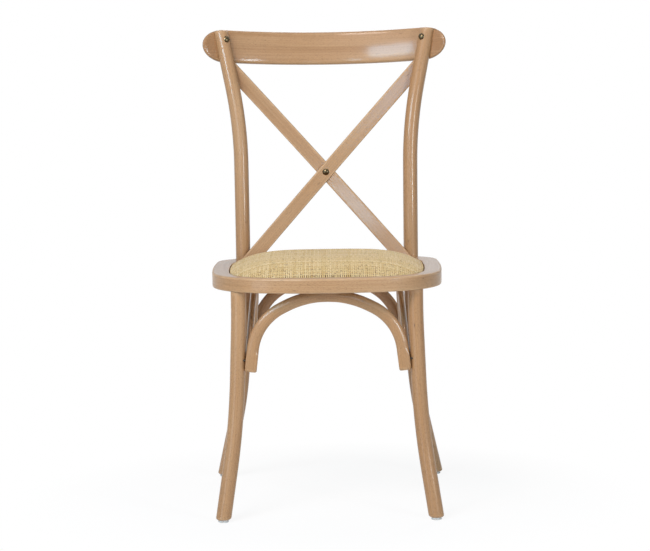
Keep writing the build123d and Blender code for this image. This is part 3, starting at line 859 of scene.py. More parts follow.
    def _straw_fibre(self) -> bpy.types.NodeTree:
        """Split cane: lengthwise fibres, slow changes of tone along a strand, and scattered brown joints.

        The coordinate is metres along, across and into the strand, and the tone is one number a strand.

        Returns:
            The group.
        """
        graph, given, leave = self._group(
            "straw_fibre",
            {"Coordinate": "Vector", "Tone": "Float", "Pale": "Color", "Ripe": "Color", "Brown": "Color"},
            {"Colour": "Color", "Height": "Float"},
        )
        place = given["Coordinate"]
        slow = graph.noise(graph.stretch(place, (38.0, 60.0, 60.0)), 2.0)
        fine = graph.noise(graph.stretch(place, (60.0, 3600.0, 3600.0)), 2.0, 0.6)
        joint = graph.remap(graph.noise(graph.stretch(place, (120.0, 40.0, 40.0)), 1.0), 0.58, 0.68)
        share = graph.math("MULTIPLY_ADD", graph.remap(slow, 0.3, 0.7), 0.75, given["Tone"])
        colour = graph.mix(graph.remap(share, 0.0, 1.0), given["Pale"], given["Ripe"])
        colour = graph.mix(graph.remap(fine, 0.5, 0.8, 0.0, 0.35), colour, given["Brown"])
        colour = graph.mix(graph.math("MULTIPLY", joint, 0.6), colour, given["Brown"])
        graph.wire(leave, Colour=colour, Height=graph.math("MULTIPLY_ADD", joint, 0.6, fine))
        return graph.tree


# Finishes


class Bench(Graph):
    """Graph of a material in the making, with its Principled shader and the node groups that it may use."""

    def __init__(self, material: bpy.types.Material, effects: Effects) -> None:
        """Starts a material from its shader alone.

        Args:
            material: Material to make.
            effects: Shared node groups.
        """
        material.use_nodes = True
        super().__init__(material.node_tree)
        self.effects = effects
        self.shader = self.node("ShaderNodeBsdfPrincipled")
        self.wire(self.node("ShaderNodeOutputMaterial"), Surface=self.shader.outputs[0])


@dataclass(frozen=True)
class Finish:
    """Surface finish: a material with a Principled shader, and the record's slot that it stands for.

    The relief's depth is what a height of 1 stands for, in metres, and its share is the strength of the bump.
    """

    name: str
    slot: str
    relief_depth: float = 0.0002
    relief_share: float = 0.4

    def material(self, effects: Effects) -> bpy.types.Material:
        """Material of this finish, built on its first use.

        Args:
            effects: Shared node groups.

        Returns:
            The material.
        """
        made = bpy.data.materials.get(self.name)
        if made is None:
            made = bpy.data.materials.new(self.name)
            self.shade(Bench(made, effects))
        return made

    def shade(self, bench: Bench) -> None:
        """Feeds the shader.

        Args:
            bench: Material in the making.
        """
        raise NotImplementedError

    def relief(self, bench: Bench, height: Feed) -> None:
        """Bumps the shader's normal.

        Args:
            bench: Material in the making.
            height: Height from 0 to 1.
        """
        bump = bench.node("ShaderNodeBump")
        bench.wire(bump, Strength=self.relief_share, Distance=self.relief_depth, Height=height)
        bench.wire(bench.shader, Normal=bump.outputs[0])

    def dress(self, piece: Piece, effects: Effects) -> None:
        """Gives a piece this finish.

        Args:
            piece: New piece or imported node.
            effects: Shared node groups.
        """
        piece.data.materials.clear()
        piece.data.materials.append(self.material(effects))


@dataclass(frozen=True)
class SatinWood(Finish):
    """Pale bent timber under a satin lacquer, rubbed paler along its edges."""

    pale: Colour = srgb(185, 148, 109)
    warm: Colour = srgb(175, 133, 91)
    deep: Colour = srgb(144, 102, 63)
    fleck: Colour = srgb(72, 47, 26)
    worn: Colour = srgb(204, 171, 135)
    roughness: float = 0.42
    specular: float = 0.25
    coat: float = 0.42
    coat_lost: float = 0.36
    coat_roughness: float = 0.13
    figure: float = 0.85
    specks: float = 1.0
    mark_scale: float = 42.0
    mark_roughness: float = 0.06
    least_rub: float = 0.35
    full_rub: float = 0.6
    worn_share: float = 0.55
    relief_depth: float = 0.00004
    relief_share: float = 0.5

    def shade(self, bench: Bench) -> None:
        """Grain in the member's own timber, with marks in the lacquer and worn edges.

        Args:
            bench: Material in the making.
        """
        place = bench.attribute("grain").outputs["Vector"]
        tone = bench.attribute("tone").outputs["Fac"]
        grain = bench.group(bench.effects.grain, Coordinate=place, Tone=tone, Pale=self.pale, Warm=self.warm,
                            Deep=self.deep, Fleck=self.fleck, Figure=self.figure, Specks=self.specks)
        marks = bench.group(bench.effects.marks, Coordinate=bench.place(), Scale=self.mark_scale)
        edge = bench.attribute("rub").outputs["Fac"]
        uneven = bench.remap(marks.outputs["Mask"], 0.0, self.full_rub, self.least_rub, 1.0)
        worn = bench.math("MULTIPLY", bench.math("MULTIPLY", edge, uneven), self.worn_share)
        colour = bench.mix(worn, grain.outputs["Colour"], self.worn)
        rough = bench.math("ADD", grain.outputs["Gloss"], self.roughness)
        rough = bench.math("MULTIPLY_ADD", marks.outputs["Mask"], self.mark_roughness, rough)
        coat = bench.math("MULTIPLY_ADD", edge, -self.coat_lost, self.coat)
        bench.wire(bench.shader, Base_Color=colour, Roughness=rough, Specular_IOR_Level=self.specular,
                   Coat_Weight=coat, Coat_Roughness=self.coat_roughness)
        self.relief(bench, grain.outputs["Height"])


@dataclass(frozen=True)
class Plywood(Finish):
    """Bare veneer of the seat board, with its grain across the chair."""

    pale: Colour = srgb(214, 182, 140)
    warm: Colour = srgb(203, 166, 122)
    deep: Colour = srgb(172, 132, 90)
    fleck: Colour = srgb(110, 76, 48)
    roughness: float = 0.6
    figure: float = 0.9
    specks: float = 0.6
    relief_depth: float = 0.0003

    def shade(self, bench: Bench) -> None:
        """Grain on the chair's own coordinates, dull and unlacquered.

        Args:
            bench: Material in the making.
        """
        place = bench.place()
        grain = bench.group(bench.effects.grain, Coordinate=place, Tone=0.0, Pale=self.pale, Warm=self.warm,
                            Deep=self.deep, Fleck=self.fleck, Figure=self.figure, Specks=self.specks)
        rough = bench.math("ADD", grain.outputs["Gloss"], self.roughness)
        bench.wire(bench.shader, Base_Color=grain.outputs["Colour"], Roughness=rough)
        self.relief(bench, grain.outputs["Height"])


@dataclass(frozen=True)
class WovenCane(Finish):
    """Split cane strands, glossier on their outer skin."""

    pale: Colour = srgb(211, 187, 142)
    ripe: Colour = srgb(189, 156, 98)
    brown: Colour = srgb(108, 79, 42)
    roughness: float = 0.42
    fibre_roughness: float = 0.12
    relief_depth: float = 0.0001
    relief_share: float = 0.35

    def shade(self, bench: Bench) -> None:
        """Fibres along each strand, with a tone of its own.

        Args:
            bench: Material in the making.
        """
        place = bench.attribute("grain").outputs["Vector"]
        tone = bench.attribute("tone").outputs["Fac"]
        straw = bench.group(bench.effects.fibre, Coordinate=place, Tone=tone, Pale=self.pale, Ripe=self.ripe,
                            Brown=self.brown)
        rough = bench.math("MULTIPLY_ADD", straw.outputs["Height"], self.fibre_roughness, self.roughness)
        bench.wire(bench.shader, Base_Color=straw.outputs["Colour"], Roughness=rough)
        self.relief(bench, straw.outputs["Height"])


@dataclass(frozen=True)
class Lining(Finish):
    """Plain cloth over the padding, seen only between the strands."""

    pale: Colour = srgb(98, 76, 42)
    ripe: Colour = srgb(82, 62, 34)
    brown: Colour = srgb(60, 44, 24)
    tone: float = 0.2
    roughness: float = 0.9
    relief_share: float = 0.5

    def shade(self, bench: Bench) -> None:
        """Fibres crossed at a fine pitch.

        Args:
            bench: Material in the making.
        """
        straw = bench.group(bench.effects.fibre, Coordinate=bench.place(), Tone=self.tone, Pale=self.pale,
                            Ripe=self.ripe, Brown=self.brown)
        bench.wire(bench.shader, Base_Color=straw.outputs["Colour"], Roughness=self.roughness)
        self.relief(bench, straw.outputs["Height"])


@dataclass(frozen=True)
class Metal(Finish):
    """Metal with a dull film in its hollows and a rubbed sheen."""

    bright: Colour = srgb(104, 88, 64)
    film: Colour = srgb(32, 25, 17)
    roughness: float = 0.16
    film_roughness: float = 0.2
    mark_scale: float = 320.0
    relief_depth: float = 0.0001
    relief_share: float = 0.25

    def shade(self, bench: Bench) -> None:
        """Film and sheen shared out by the handling marks.

        Args:
            bench: Material in the making.
        """
        marks = bench.group(bench.effects.marks, Coordinate=bench.place(), Scale=self.mark_scale)
        colour = bench.mix(marks.outputs["Mask"], self.bright, self.film)
        rough = bench.math("MULTIPLY_ADD", marks.outputs["Mask"], self.film_roughness, self.roughness)
        bench.wire(bench.shader, Base_Color=colour, Roughness=rough, Metallic=1.0)
        self.relief(bench, marks.outputs["Height"])


@dataclass(frozen=True)
class GlidePlastic(Finish):
    """Moulded grey plastic, scuffed underfoot."""

    clean: Colour = srgb(205, 204, 200)
    scuffed: Colour = srgb(150, 148, 143)
    roughness: float = 0.42
    scuff_roughness: float = 0.3
    mark_scale: float = 150.0
    relief_share: float = 0.3

    def shade(self, bench: Bench) -> None:
        """Moulded skin with scuffs.

        Args:
            bench: Material in the making.
        """
        marks = bench.group(bench.effects.marks, Coordinate=bench.place(), Scale=self.mark_scale)
        colour = bench.mix(marks.outputs["Mask"], self.clean, self.scuffed)
        rough = bench.math("MULTIPLY_ADD", marks.outputs["Mask"], self.scuff_roughness, self.roughness)
        bench.wire(bench.shader, Base_Color=colour, Roughness=rough)
        self.relief(bench, marks.outputs["Height"])


SATIN_WOOD = SatinWood("lacquered_timber", "satin_wood")
PLYWOOD = Plywood("bare_veneer", "plywood")
WOVEN_CANE = WovenCane("split_cane", "woven_cane")
CANE_LINING = Lining("pad_lining", "woven_cane")
AGED_BRONZE = Metal("filmed_bronze", "aged_bronze")
ZINC_STEEL = Metal("plated_steel", "zinc_steel", bright=srgb(196, 198, 202), film=srgb(140, 142, 146),
                   roughness=0.32)
DARK_STEEL = Metal("blackened_steel", "dark_steel", bright=srgb(74, 66, 58), film=srgb(34, 29, 25),
                   roughness=0.42)
GLIDE_PLASTIC = GlidePlastic("moulded_plastic", "grey_plastic")


# Sub-assemblies


@dataclass(frozen=True)
class Datum:
    """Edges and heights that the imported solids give."""

    seat_front: float
    seat_back: float
    seat_bottom: float
    seat_top: float
    seat_half: float
    rail_half: float

    @classmethod
    def from_frame(cls) -> "Datum":
        """Reads the boxes of the seat frame and the top rail.

        Returns:
            The datum.
        """
        seat_low, seat_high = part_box("seat_frame")
        _rail_low, rail_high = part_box("top_rail")
        return cls(seat_low.y, seat_high.y, seat_low.z, seat_high.z, seat_high.x, rail_high.x)


@dataclass
class Joinery:
    """Sub-assembly of wooden members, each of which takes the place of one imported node."""

    datum: Datum
    timber: Timber
    crease: ClassVar[float] = 40.0

    def members(self) -> Iterator[tuple[str, Surface]]:
        """Cuts the members in order.

        Yields:
            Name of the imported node, and the surface that takes its place.
        """
        raise NotImplementedError

    def build(self, effects: Effects) -> list[Piece]:
        """Makes and dresses every member.

        Args:
            effects: Shared node groups.

        Returns:
            The new pieces.
        """
        made = []
        for node, surface in self.members():
            piece = surface.piece(f"{node}_wood", self.crease)
            SATIN_WOOD.dress(piece, effects)
            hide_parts(node)
            made.append(piece)
        return made


@dataclass
class BentRod:
    """Round rod bent along a route, level at its foot and closed at its top."""

    route: Array
    radius: float = 0.014
    bend_share: float = 0.47
    foot_height: float = 0.005
    foot_bevel: float = 0.0025
    foot_shares: tuple[float, float] = (0.4, 0.97)
    foot_lip: float = 0.0003
    foot_ease: float = 0.0002
    foot_run: float = 1.6
    worn_reach: float = 0.006
    settle: float = 0.09
    step: float = 0.006
    columns: int = 144

    def line(self) -> BentLine:
        """Centre line from the glide up: each bend takes one share of its shorter run.

        Returns:
            The line.
        """
        runs = np.diff(self.route, axis=0)
        sizes = np.linalg.norm(runs, axis=1)
        turns = np.arccos(np.clip(np.sum(unit(runs[:-1]) * unit(runs[1:]), axis=1), -1.0, 1.0))
        radii = self.bend_share * np.minimum(sizes[:-1], sizes[1:]) / np.tan(turns / 2.0)
        start = self.route[0] + runs[0] * self.foot_height / runs[0][2]
        return BentLine.rounded(np.concatenate([[start], self.route[1:]]), radii)

    def surface(self, timber: Timber, top_knots: Array, top_length: float, top_normal: Array,
                recesses: tuple[Recess, ...] = ()) -> Surface:
        """Circle carried along the line, with a bevelled foot and a shaped top.

        Near each end the circles are slid along the rod until they lie in the plane that cuts that end.

        Args:
            timber: Source of the member's place in the tree.
            top_knots: Lengths past the top plane and radii there, from below the top to its end.
            top_length: Length at which the axis meets the top plane.
            top_normal: Normal of the top plane.
            recesses: Recesses for bolt heads.

        Returns:
            The rod's surface.
        """
        line = self.line()
        tip = self.radius - self.foot_bevel
        inner, outer = self.foot_shares
        foot = np.array([[0.0, inner * tip], [0.0, outer * tip], [self.foot_lip, tip + self.foot_ease],
                         [self.foot_bevel, self.radius - self.foot_ease],
                         [self.foot_run * self.foot_bevel, self.radius]])
        top = np.column_stack([top_length + top_knots[:, 0], top_knots[:, 1]])
        count = int((top[0, 0] - foot[-1, 0]) / self.step)
        shaft = np.linspace(foot[-1, 0], top[0, 0], count)[1:-1]
        shaft = np.unique(np.concatenate([shaft, *(recess.rows(line) for recess in recesses)]))
        shaft = shaft[shaft < top[0, 0]]
        knots = np.concatenate([foot, np.column_stack([shaft, np.full(len(shaft), self.radius)]), top])
        angle = np.linspace(0.0, 2.0 * math.pi, self.columns, endpoint=False)
        circle = np.stack([np.cos(angle), np.sin(angle)], -1)
        edge = circle * self.radius
        low = line.meet(ACROSS, edge, 0.0, line.points[0], UP)
        high_point, _tangent = line.at(np.array(top_length))
        high = line.meet(ACROSS, edge, top_length, high_point, top_normal) - top_length
        stations, radii = knots[:, :1], knots[:, 1:]
        share = radii / self.radius
        slide = low * (1.0 - eased(stations, 0.0, self.settle))
        slide = slide + high * eased(stations, top_length - self.settle, top_length)
        points, places = line.carry(ACROSS, stations + slide * share, circle * radii[..., None])
        for recess in recesses:
            points = recess.sink(points)
        rub = worn_ends(stations, top_length, self.worn_reach)
        return Surface.from_grid(points, timber.values(places, rub * np.ones(self.columns)))


@dataclass
class FrontLegs(Joinery):
    """Two front legs, splayed below a knee, each with a round tenon into the seat."""

    x: float = 0.1613
    setback: float = 0.058
    plumb: float = 0.049
    knee: tuple[float, float, float] = (0.0072, 0.008, 0.175)
    foot: tuple[float, float] = (0.0337, 0.038)
    tenon_radius: float = 0.010
    tenon_length: float = 0.018
    tenon_bevel: float = 0.001
    shoulder_run: float = 0.002
    shoulder_ease: float = 0.0003

    def route(self, side: Side) -> Array:
        """Corners of a leg's centre line from the floor to the seat.

        Args:
            side: Side of the leg.

        Returns:
            Array of points.
        """
        y = self.datum.seat_front + self.setback
        corners = np.array([
            [self.x + self.foot[0], y - self.foot[1], 0.0],
            [self.x + self.knee[0], y - self.knee[1], self.knee[2]],
            [self.x, y, self.datum.seat_bottom - self.plumb],
            [self.x, y, self.datum.seat_bottom],
        ])
        return corners * [side.value, 1.0, 1.0]

    def members(self) -> Iterator[tuple[str, Surface]]:
        """Both legs, each stepped down to its tenon at the seat.

        Yields:
            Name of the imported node, and the surface that takes its place.
        """
        for side in Side:
            rod = BentRod(self.route(side))
            small, large = self.tenon_radius, rod.radius
            knots = np.array([[-self.shoulder_run, large], [-self.shoulder_ease, large],
                              [0.0, large - self.shoulder_ease], [0.0, small],
                              [self.tenon_length - self.tenon_bevel, small],
                              [self.tenon_length, small - self.tenon_bevel]])
            yield f"{side.word}_front_leg", rod.surface(self.timber, knots, rod.line().length, UP)


@dataclass
class TopRail(Joinery):
    """Bent board with rounded ears, leaning back with the posts."""

    crease: ClassVar[float] = 60.0

    height: float = 0.0635
    thickness: float = 0.018
    radius: float = 0.420
    lean: float = math.radians(9.4)
    round: float = 0.006
    face_bow: float = 0.0011
    face_turn: float = math.radians(6.0)
    ear: float = 0.042
    # Painted shade along the ears.
    ear_painted_shade: float = 4.0
    edge_rub: float = 0.4
    setback: float = 0.46825
    middle_height: float = 0.85027
    face_rows: int = 12
    round_rows: int = 9
    ear_rows: int = 26
    span_rows: int = 70

    @property
    def up(self) -> Array:
        """Direction up along the lean."""
        return np.array([0.0, math.sin(self.lean), math.cos(self.lean)])

    @property
    def inward(self) -> Array:
        """Direction to the back, square to the lean."""
        return np.array([0.0, math.cos(self.lean), -math.sin(self.lean)])

    @property
    def origin(self) -> Array:
        """Middle of the front face."""
        return np.array([0.0, self.datum.seat_front + self.setback, self.middle_height])

    def bend(self, x: Array, depth: Array, height: Array) -> Array:
        """Puts flat board places onto the bent rail: y = sqrt((radius + depth)^2 - x^2) - radius.

        Args:
            x: Place across the chair.
            depth: Depth behind the front face.
            height: Height above the rail's middle.

        Returns:
            Points in the chair's frame.
        """
        y = np.sqrt((self.radius + depth) ** 2 - x**2) - self.radius
        return self.origin + x[..., None] * ACROSS + y[..., None] * self.inward + height[..., None] * self.up

    def section(self) -> tuple[Array, Array, Array]:
        """Rounded section as a loop. Its faces fall back by bow * share^2 towards the rounded edges.

        Returns:
            Height share from -1 to 1, depth, and how far the edge is drawn in.
        """
        angle = np.linspace(self.face_turn, math.pi / 2.0, self.round_rows)
        drawn = self.round * (1.0 - np.sin(angle))
        depth = self.face_bow + (self.round - self.face_bow) * (math.cos(self.face_turn) - np.cos(angle))
        face = np.linspace(-1.0, 1.0, self.face_rows + 2)[1:-1]
        bow = self.face_bow * face**2
        over = np.concatenate([depth, self.thickness - depth[::-1]])
        over_drawn = np.concatenate([drawn, drawn[::-1]])
        ones = np.ones(len(over))
        share = np.concatenate([face, ones, -face, -ones])
        depths = np.concatenate([bow, over, self.thickness - bow, over[::-1]])
        face_drawn = np.full(len(face), drawn[0])
        drawns = np.concatenate([face_drawn, over_drawn, face_drawn, over_drawn[::-1]])
        return share, depths, drawns

    def members(self) -> Iterator[tuple[str, Surface]]:
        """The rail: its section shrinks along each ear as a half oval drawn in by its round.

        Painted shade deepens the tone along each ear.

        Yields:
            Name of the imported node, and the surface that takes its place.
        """
        share, depth, drawn = self.section()
        straight = self.datum.rail_half - self.ear
        angle = np.linspace(0.0, math.pi / 2.0, self.ear_rows)[1:]
        stretch = np.concatenate([-angle[::-1], np.zeros(self.span_rows), angle])[:, None]
        ends = np.full(len(angle), straight)
        across = np.concatenate([-ends, np.linspace(-straight, straight, self.span_rows), ends])[:, None]
        x = across + (self.ear - drawn) * np.sin(stretch)
        height = share * (self.height / 2.0 - drawn) * np.cos(stretch)
        depths = np.broadcast_to(depth, x.shape)
        points = self.bend(x, depths, height)
        places = np.stack([x, height, depths], -1)
        rub = np.broadcast_to(self.edge_rub * (1.0 - np.abs(drawn / self.round * 2.0 - 1.0)), x.shape)
        # Painted shade: the tone deepens from where each ear starts to halfway along it, and holds to its
        # tip.
        painted_shading = self.ear_painted_shade * eased(np.abs(x), straight, straight + self.ear / 2.0)
        yield "top_rail", Surface.from_grid(points, self.timber.values(places, rub, painted_shading), folded=True)


@dataclass
class BackPosts(Joinery):
    """Two back posts: back leg and back upright in one bent rod, cut off just below the rail's top."""

    rail: TopRail
    x: float = 0.163
    let_in: float = 0.008
    plumb_below: float = 0.069
    plumb_above: float = 0.099
    knee: tuple[float, float, float] = (0.006, 0.015, 0.190)
    foot: tuple[float, float] = (0.0485, 0.092)
    shoulder: tuple[float, float, float] = (0.0015, 0.016, 0.705)
    top_rise: float = 0.213
    flare: float = math.radians(11.3)
    top_drop: float = 0.004
    top_round: float = 0.003
    round_rows: int = 7
    top_share: float = 0.4
    head_radius: float = 0.0064
    head_depth: float = 0.0016
    rail_bolt_height: float = 0.869
    rail_bolt_inset: float = 0.003

    def recesses(self, side: Side, rod: BentRod) -> tuple[Recess, Recess]:
        """Recesses of the rail bolt, square to the bent rail, and of the seat bolt behind the post.

        Args:
            side: Side of the post.
            rod: The post's rod.

        Returns:
            The two recesses.
        """
        offset = rod.line().at_height(self.rail_bolt_height) - self.rail.origin
        across, depth, height = abs(offset[0]), offset @ self.rail.inward, offset @ self.rail.up
        reach = math.hypot(across, depth + self.rail.radius) + self.head_depth
        reach = reach - math.sqrt(rod.radius**2 - self.rail_bolt_inset**2)
        angle = math.atan2(across, depth + self.rail.radius) - self.rail_bolt_inset / self.rail.radius
        away = side.value * math.sin(angle) * ACROSS + math.cos(angle) * self.rail.inward
        middle = self.rail.origin - self.rail.radius * self.rail.inward + height * self.rail.up
        seat_height = (self.datum.seat_bottom + self.datum.seat_top) / 2.0
        behind = np.array([side.value * self.x, self.y + rod.radius - self.head_depth, seat_height])
        return (Recess(middle + away * reach, -away, self.head_radius),
                Recess(behind, BACKWARD, self.head_radius))

    @property
    def y(self) -> float:
        """Place of the plumb part of a post, from the front to the back of the chair."""
        return self.datum.seat_back - self.let_in

    def route(self, side: Side) -> Array:
        """Corners of a post's centre line from the floor up past the rail.

        Args:
            side: Side of the post.

        Returns:
            Array of points.
        """
        x, y = self.x, self.y
        out, back, height = self.shoulder
        corners = np.array([
            [x + self.foot[0], y + self.foot[1], 0.0],
            [x + self.knee[0], y + self.knee[1], self.knee[2]],
            [x, y, self.datum.seat_bottom - self.plumb_below],
            [x, y, self.datum.seat_top + self.plumb_above],
            [x + out, y + back, height],
            [x + out + self.top_rise * math.tan(self.flare),
             y + back + self.top_rise * math.tan(self.rail.lean), height + self.top_rise],
        ])
        return corners * [side.value, 1.0, 1.0]

    def members(self) -> Iterator[tuple[str, Surface]]:
        """Both posts, each with a rounded top in the plane of the lean.

        Yields:
            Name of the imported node, and the surface that takes its place.
        """
        top = self.rail.origin + self.rail.up * (self.rail.height / 2.0 - self.top_drop)
        turn = np.linspace(0.0, math.pi / 2.0, self.round_rows)
        for side in Side:
            rod = BentRod(self.route(side))
            line = rod.line()
            heights = (line.points - top) @ self.rail.up
            top_length = float(np.interp(0.0, heights, line.lengths))
            curve = np.column_stack([self.top_round * (np.sin(turn) - 1.0),
                                     rod.radius - self.top_round * (1.0 - np.cos(turn))])
            crown = np.array([[0.0, self.top_share * rod.radius]])
            yield f"{side.word}_back_post", rod.surface(
                self.timber, np.concatenate([curve, crown]), top_length, self.rail.up,
                self.recesses(side, rod))


@dataclass
class CrossSlats(Joinery):
    """Two bent slats that cross behind the sitter: the one that rises to the right passes in front."""

    crease: ClassVar[float] = 50.0

    rail: TopRail
    posts: BackPosts
    width: float = 0.027
    thickness: float = 0.010
    foot_inset: float = 0.015
    foot_gap: float = 0.0025
    tenon: float = 0.008
    top_height: float = 0.820
    bow: float = 0.022
    let_in: float = 0.0107
    step: float = 0.0045
    end_gap: float = 0.0008
    past_post: float = 0.008
    corner: float = 0.002
    spotface: float = 0.0011
    head_radius: float = 0.0064
    screw_recess: float = 0.0012
    screw_radius: float = 0.0041
    screw_drop: float = 0.006
    worn_corner: tuple[float, float] = (0.72, 0.86)
    samples: int = 400
    rows: int = 140
    spacing: float = 0.0005

    def line(self, rising: Side) -> tuple[BentLine, Array, tuple[Recess, Recess]]:
        """Arc through the slat's foot, the crossing and its top.

        Args:
            rising: Side on which the slat's top is.

        Returns:
            The line, the normal of the plane that it is bent in, and its recesses for bolt and screw.
        """
        post = BentRod(self.posts.route(Side.RIGHT))
        post_line = post.line()
        top = post_line.at_height(self.top_height)
        foot_x = self.posts.x - self.foot_inset
        foot_y = self.posts.y - post.radius - self.foot_gap - self.thickness / 2.0
        top_y = top[1] + post.radius - self.let_in + self.thickness / 2.0
        share = foot_x / (foot_x + top[0])
        cross_z = self.datum.seat_top + share * (top[2] - self.datum.seat_top)
        cross_y = foot_y + share * (top_y - foot_y) + self.bow
        below = math.hypot(foot_x, cross_z - self.datum.seat_top)
        above = math.hypot(top[0], top[2] - cross_z)
        foot_place = np.array([-below, foot_y - cross_y])
        top_place = np.array([above, top_y - cross_y])
        middle = np.array([0.0, -rising.value * self.step / 2.0])
        centre, radius = circle_through(foot_place, middle, top_place)
        flat = arc_points(centre, radius, foot_place, top_place, self.samples)
        along = unit(np.array([rising.value * foot_x, 0.0, cross_z - self.datum.seat_top]))
        crossing = np.array([0.0, cross_y, cross_z])
        points = crossing + flat[:, :1] * along + flat[:, 1:] * BACKWARD
        grip = self.step + self.thickness - 2.0 * self.spotface
        forward = -rising.value * BACKWARD
        bolt = Recess(crossing + grip / 2.0 * forward, forward, self.head_radius)
        screw_height = top[2] - self.screw_drop
        screw_x = np.interp(screw_height, post_line.points[:, 2], post_line.points[:, 0])
        screw_y = top_y + self.thickness / 2.0 - self.screw_recess
        screw = Recess(np.array([rising.value * screw_x, screw_y, screw_height]), BACKWARD, self.screw_radius)
        return BentLine.along(points), np.cross(along, BACKWARD), (bolt, screw)

    def members(self) -> Iterator[tuple[str, Surface]]:
        """Both slats: each line of the section runs from the seat to the nearer end cut.

        Yields:
            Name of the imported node, and the surface that takes its place.
        """
        section = rounded_bar(self.width, self.thickness, self.corner, self.spacing)
        below_rail = self.rail.origin - self.rail.up * (self.rail.height / 2.0 + self.end_gap)
        for rising, name in ((Side.RIGHT, "front_cross_slat"), (Side.LEFT, "back_cross_slat")):
            line, across, recesses = self.line(rising)
            seat = np.array([0.0, 0.0, self.datum.seat_top - self.tenon])
            start = line.meet(across, section, 0.0, seat, UP)
            top, _tangent = line.at(np.array(line.length))
            outward = np.array([rising.value * math.cos(self.posts.flare), 0.0, -math.sin(self.posts.flare)])
            past = top + rising.value * self.past_post * ACROSS
            end = np.minimum(line.meet(across, section, line.length, below_rail, self.rail.up),
                             line.meet(across, section, line.length, past, outward))
            close = [recess.rows(line) / line.length for recess in recesses]
            share = np.unique(np.concatenate([np.linspace(0.0, 1.0, self.rows), *close]).clip(0.0, 1.0))
            lengths = start + (end - start) * share[:, None]
            points, places = line.carry(across, lengths, np.broadcast_to(section, lengths.shape + (2,)))
            for recess in recesses:
                points = recess.sink(points)
            corner = np.abs(section[:, 0] / self.width) * np.abs(section[:, 1] / self.thickness) * 4.0
            rub = np.broadcast_to(eased(corner, *self.worn_corner), lengths.shape)
            yield name, Surface.from_grid(points, self.timber.values(places, rub))


@dataclass(frozen=True)
class ArchPlan:
    """Where an arch stands: its crown under the seat, the middle between its ends, and its span."""

    crown: Array
    ends: Array
    across: Array
    half_span: float

    @property
    def up(self) -> Array:
        """Direction up in the arch's plane."""
        return unit(self.crown - self.ends)

    @property
    def at_side(self) -> bool:
        """Whether the arch runs from the front to the back of the chair."""
        return self.across is BACKWARD


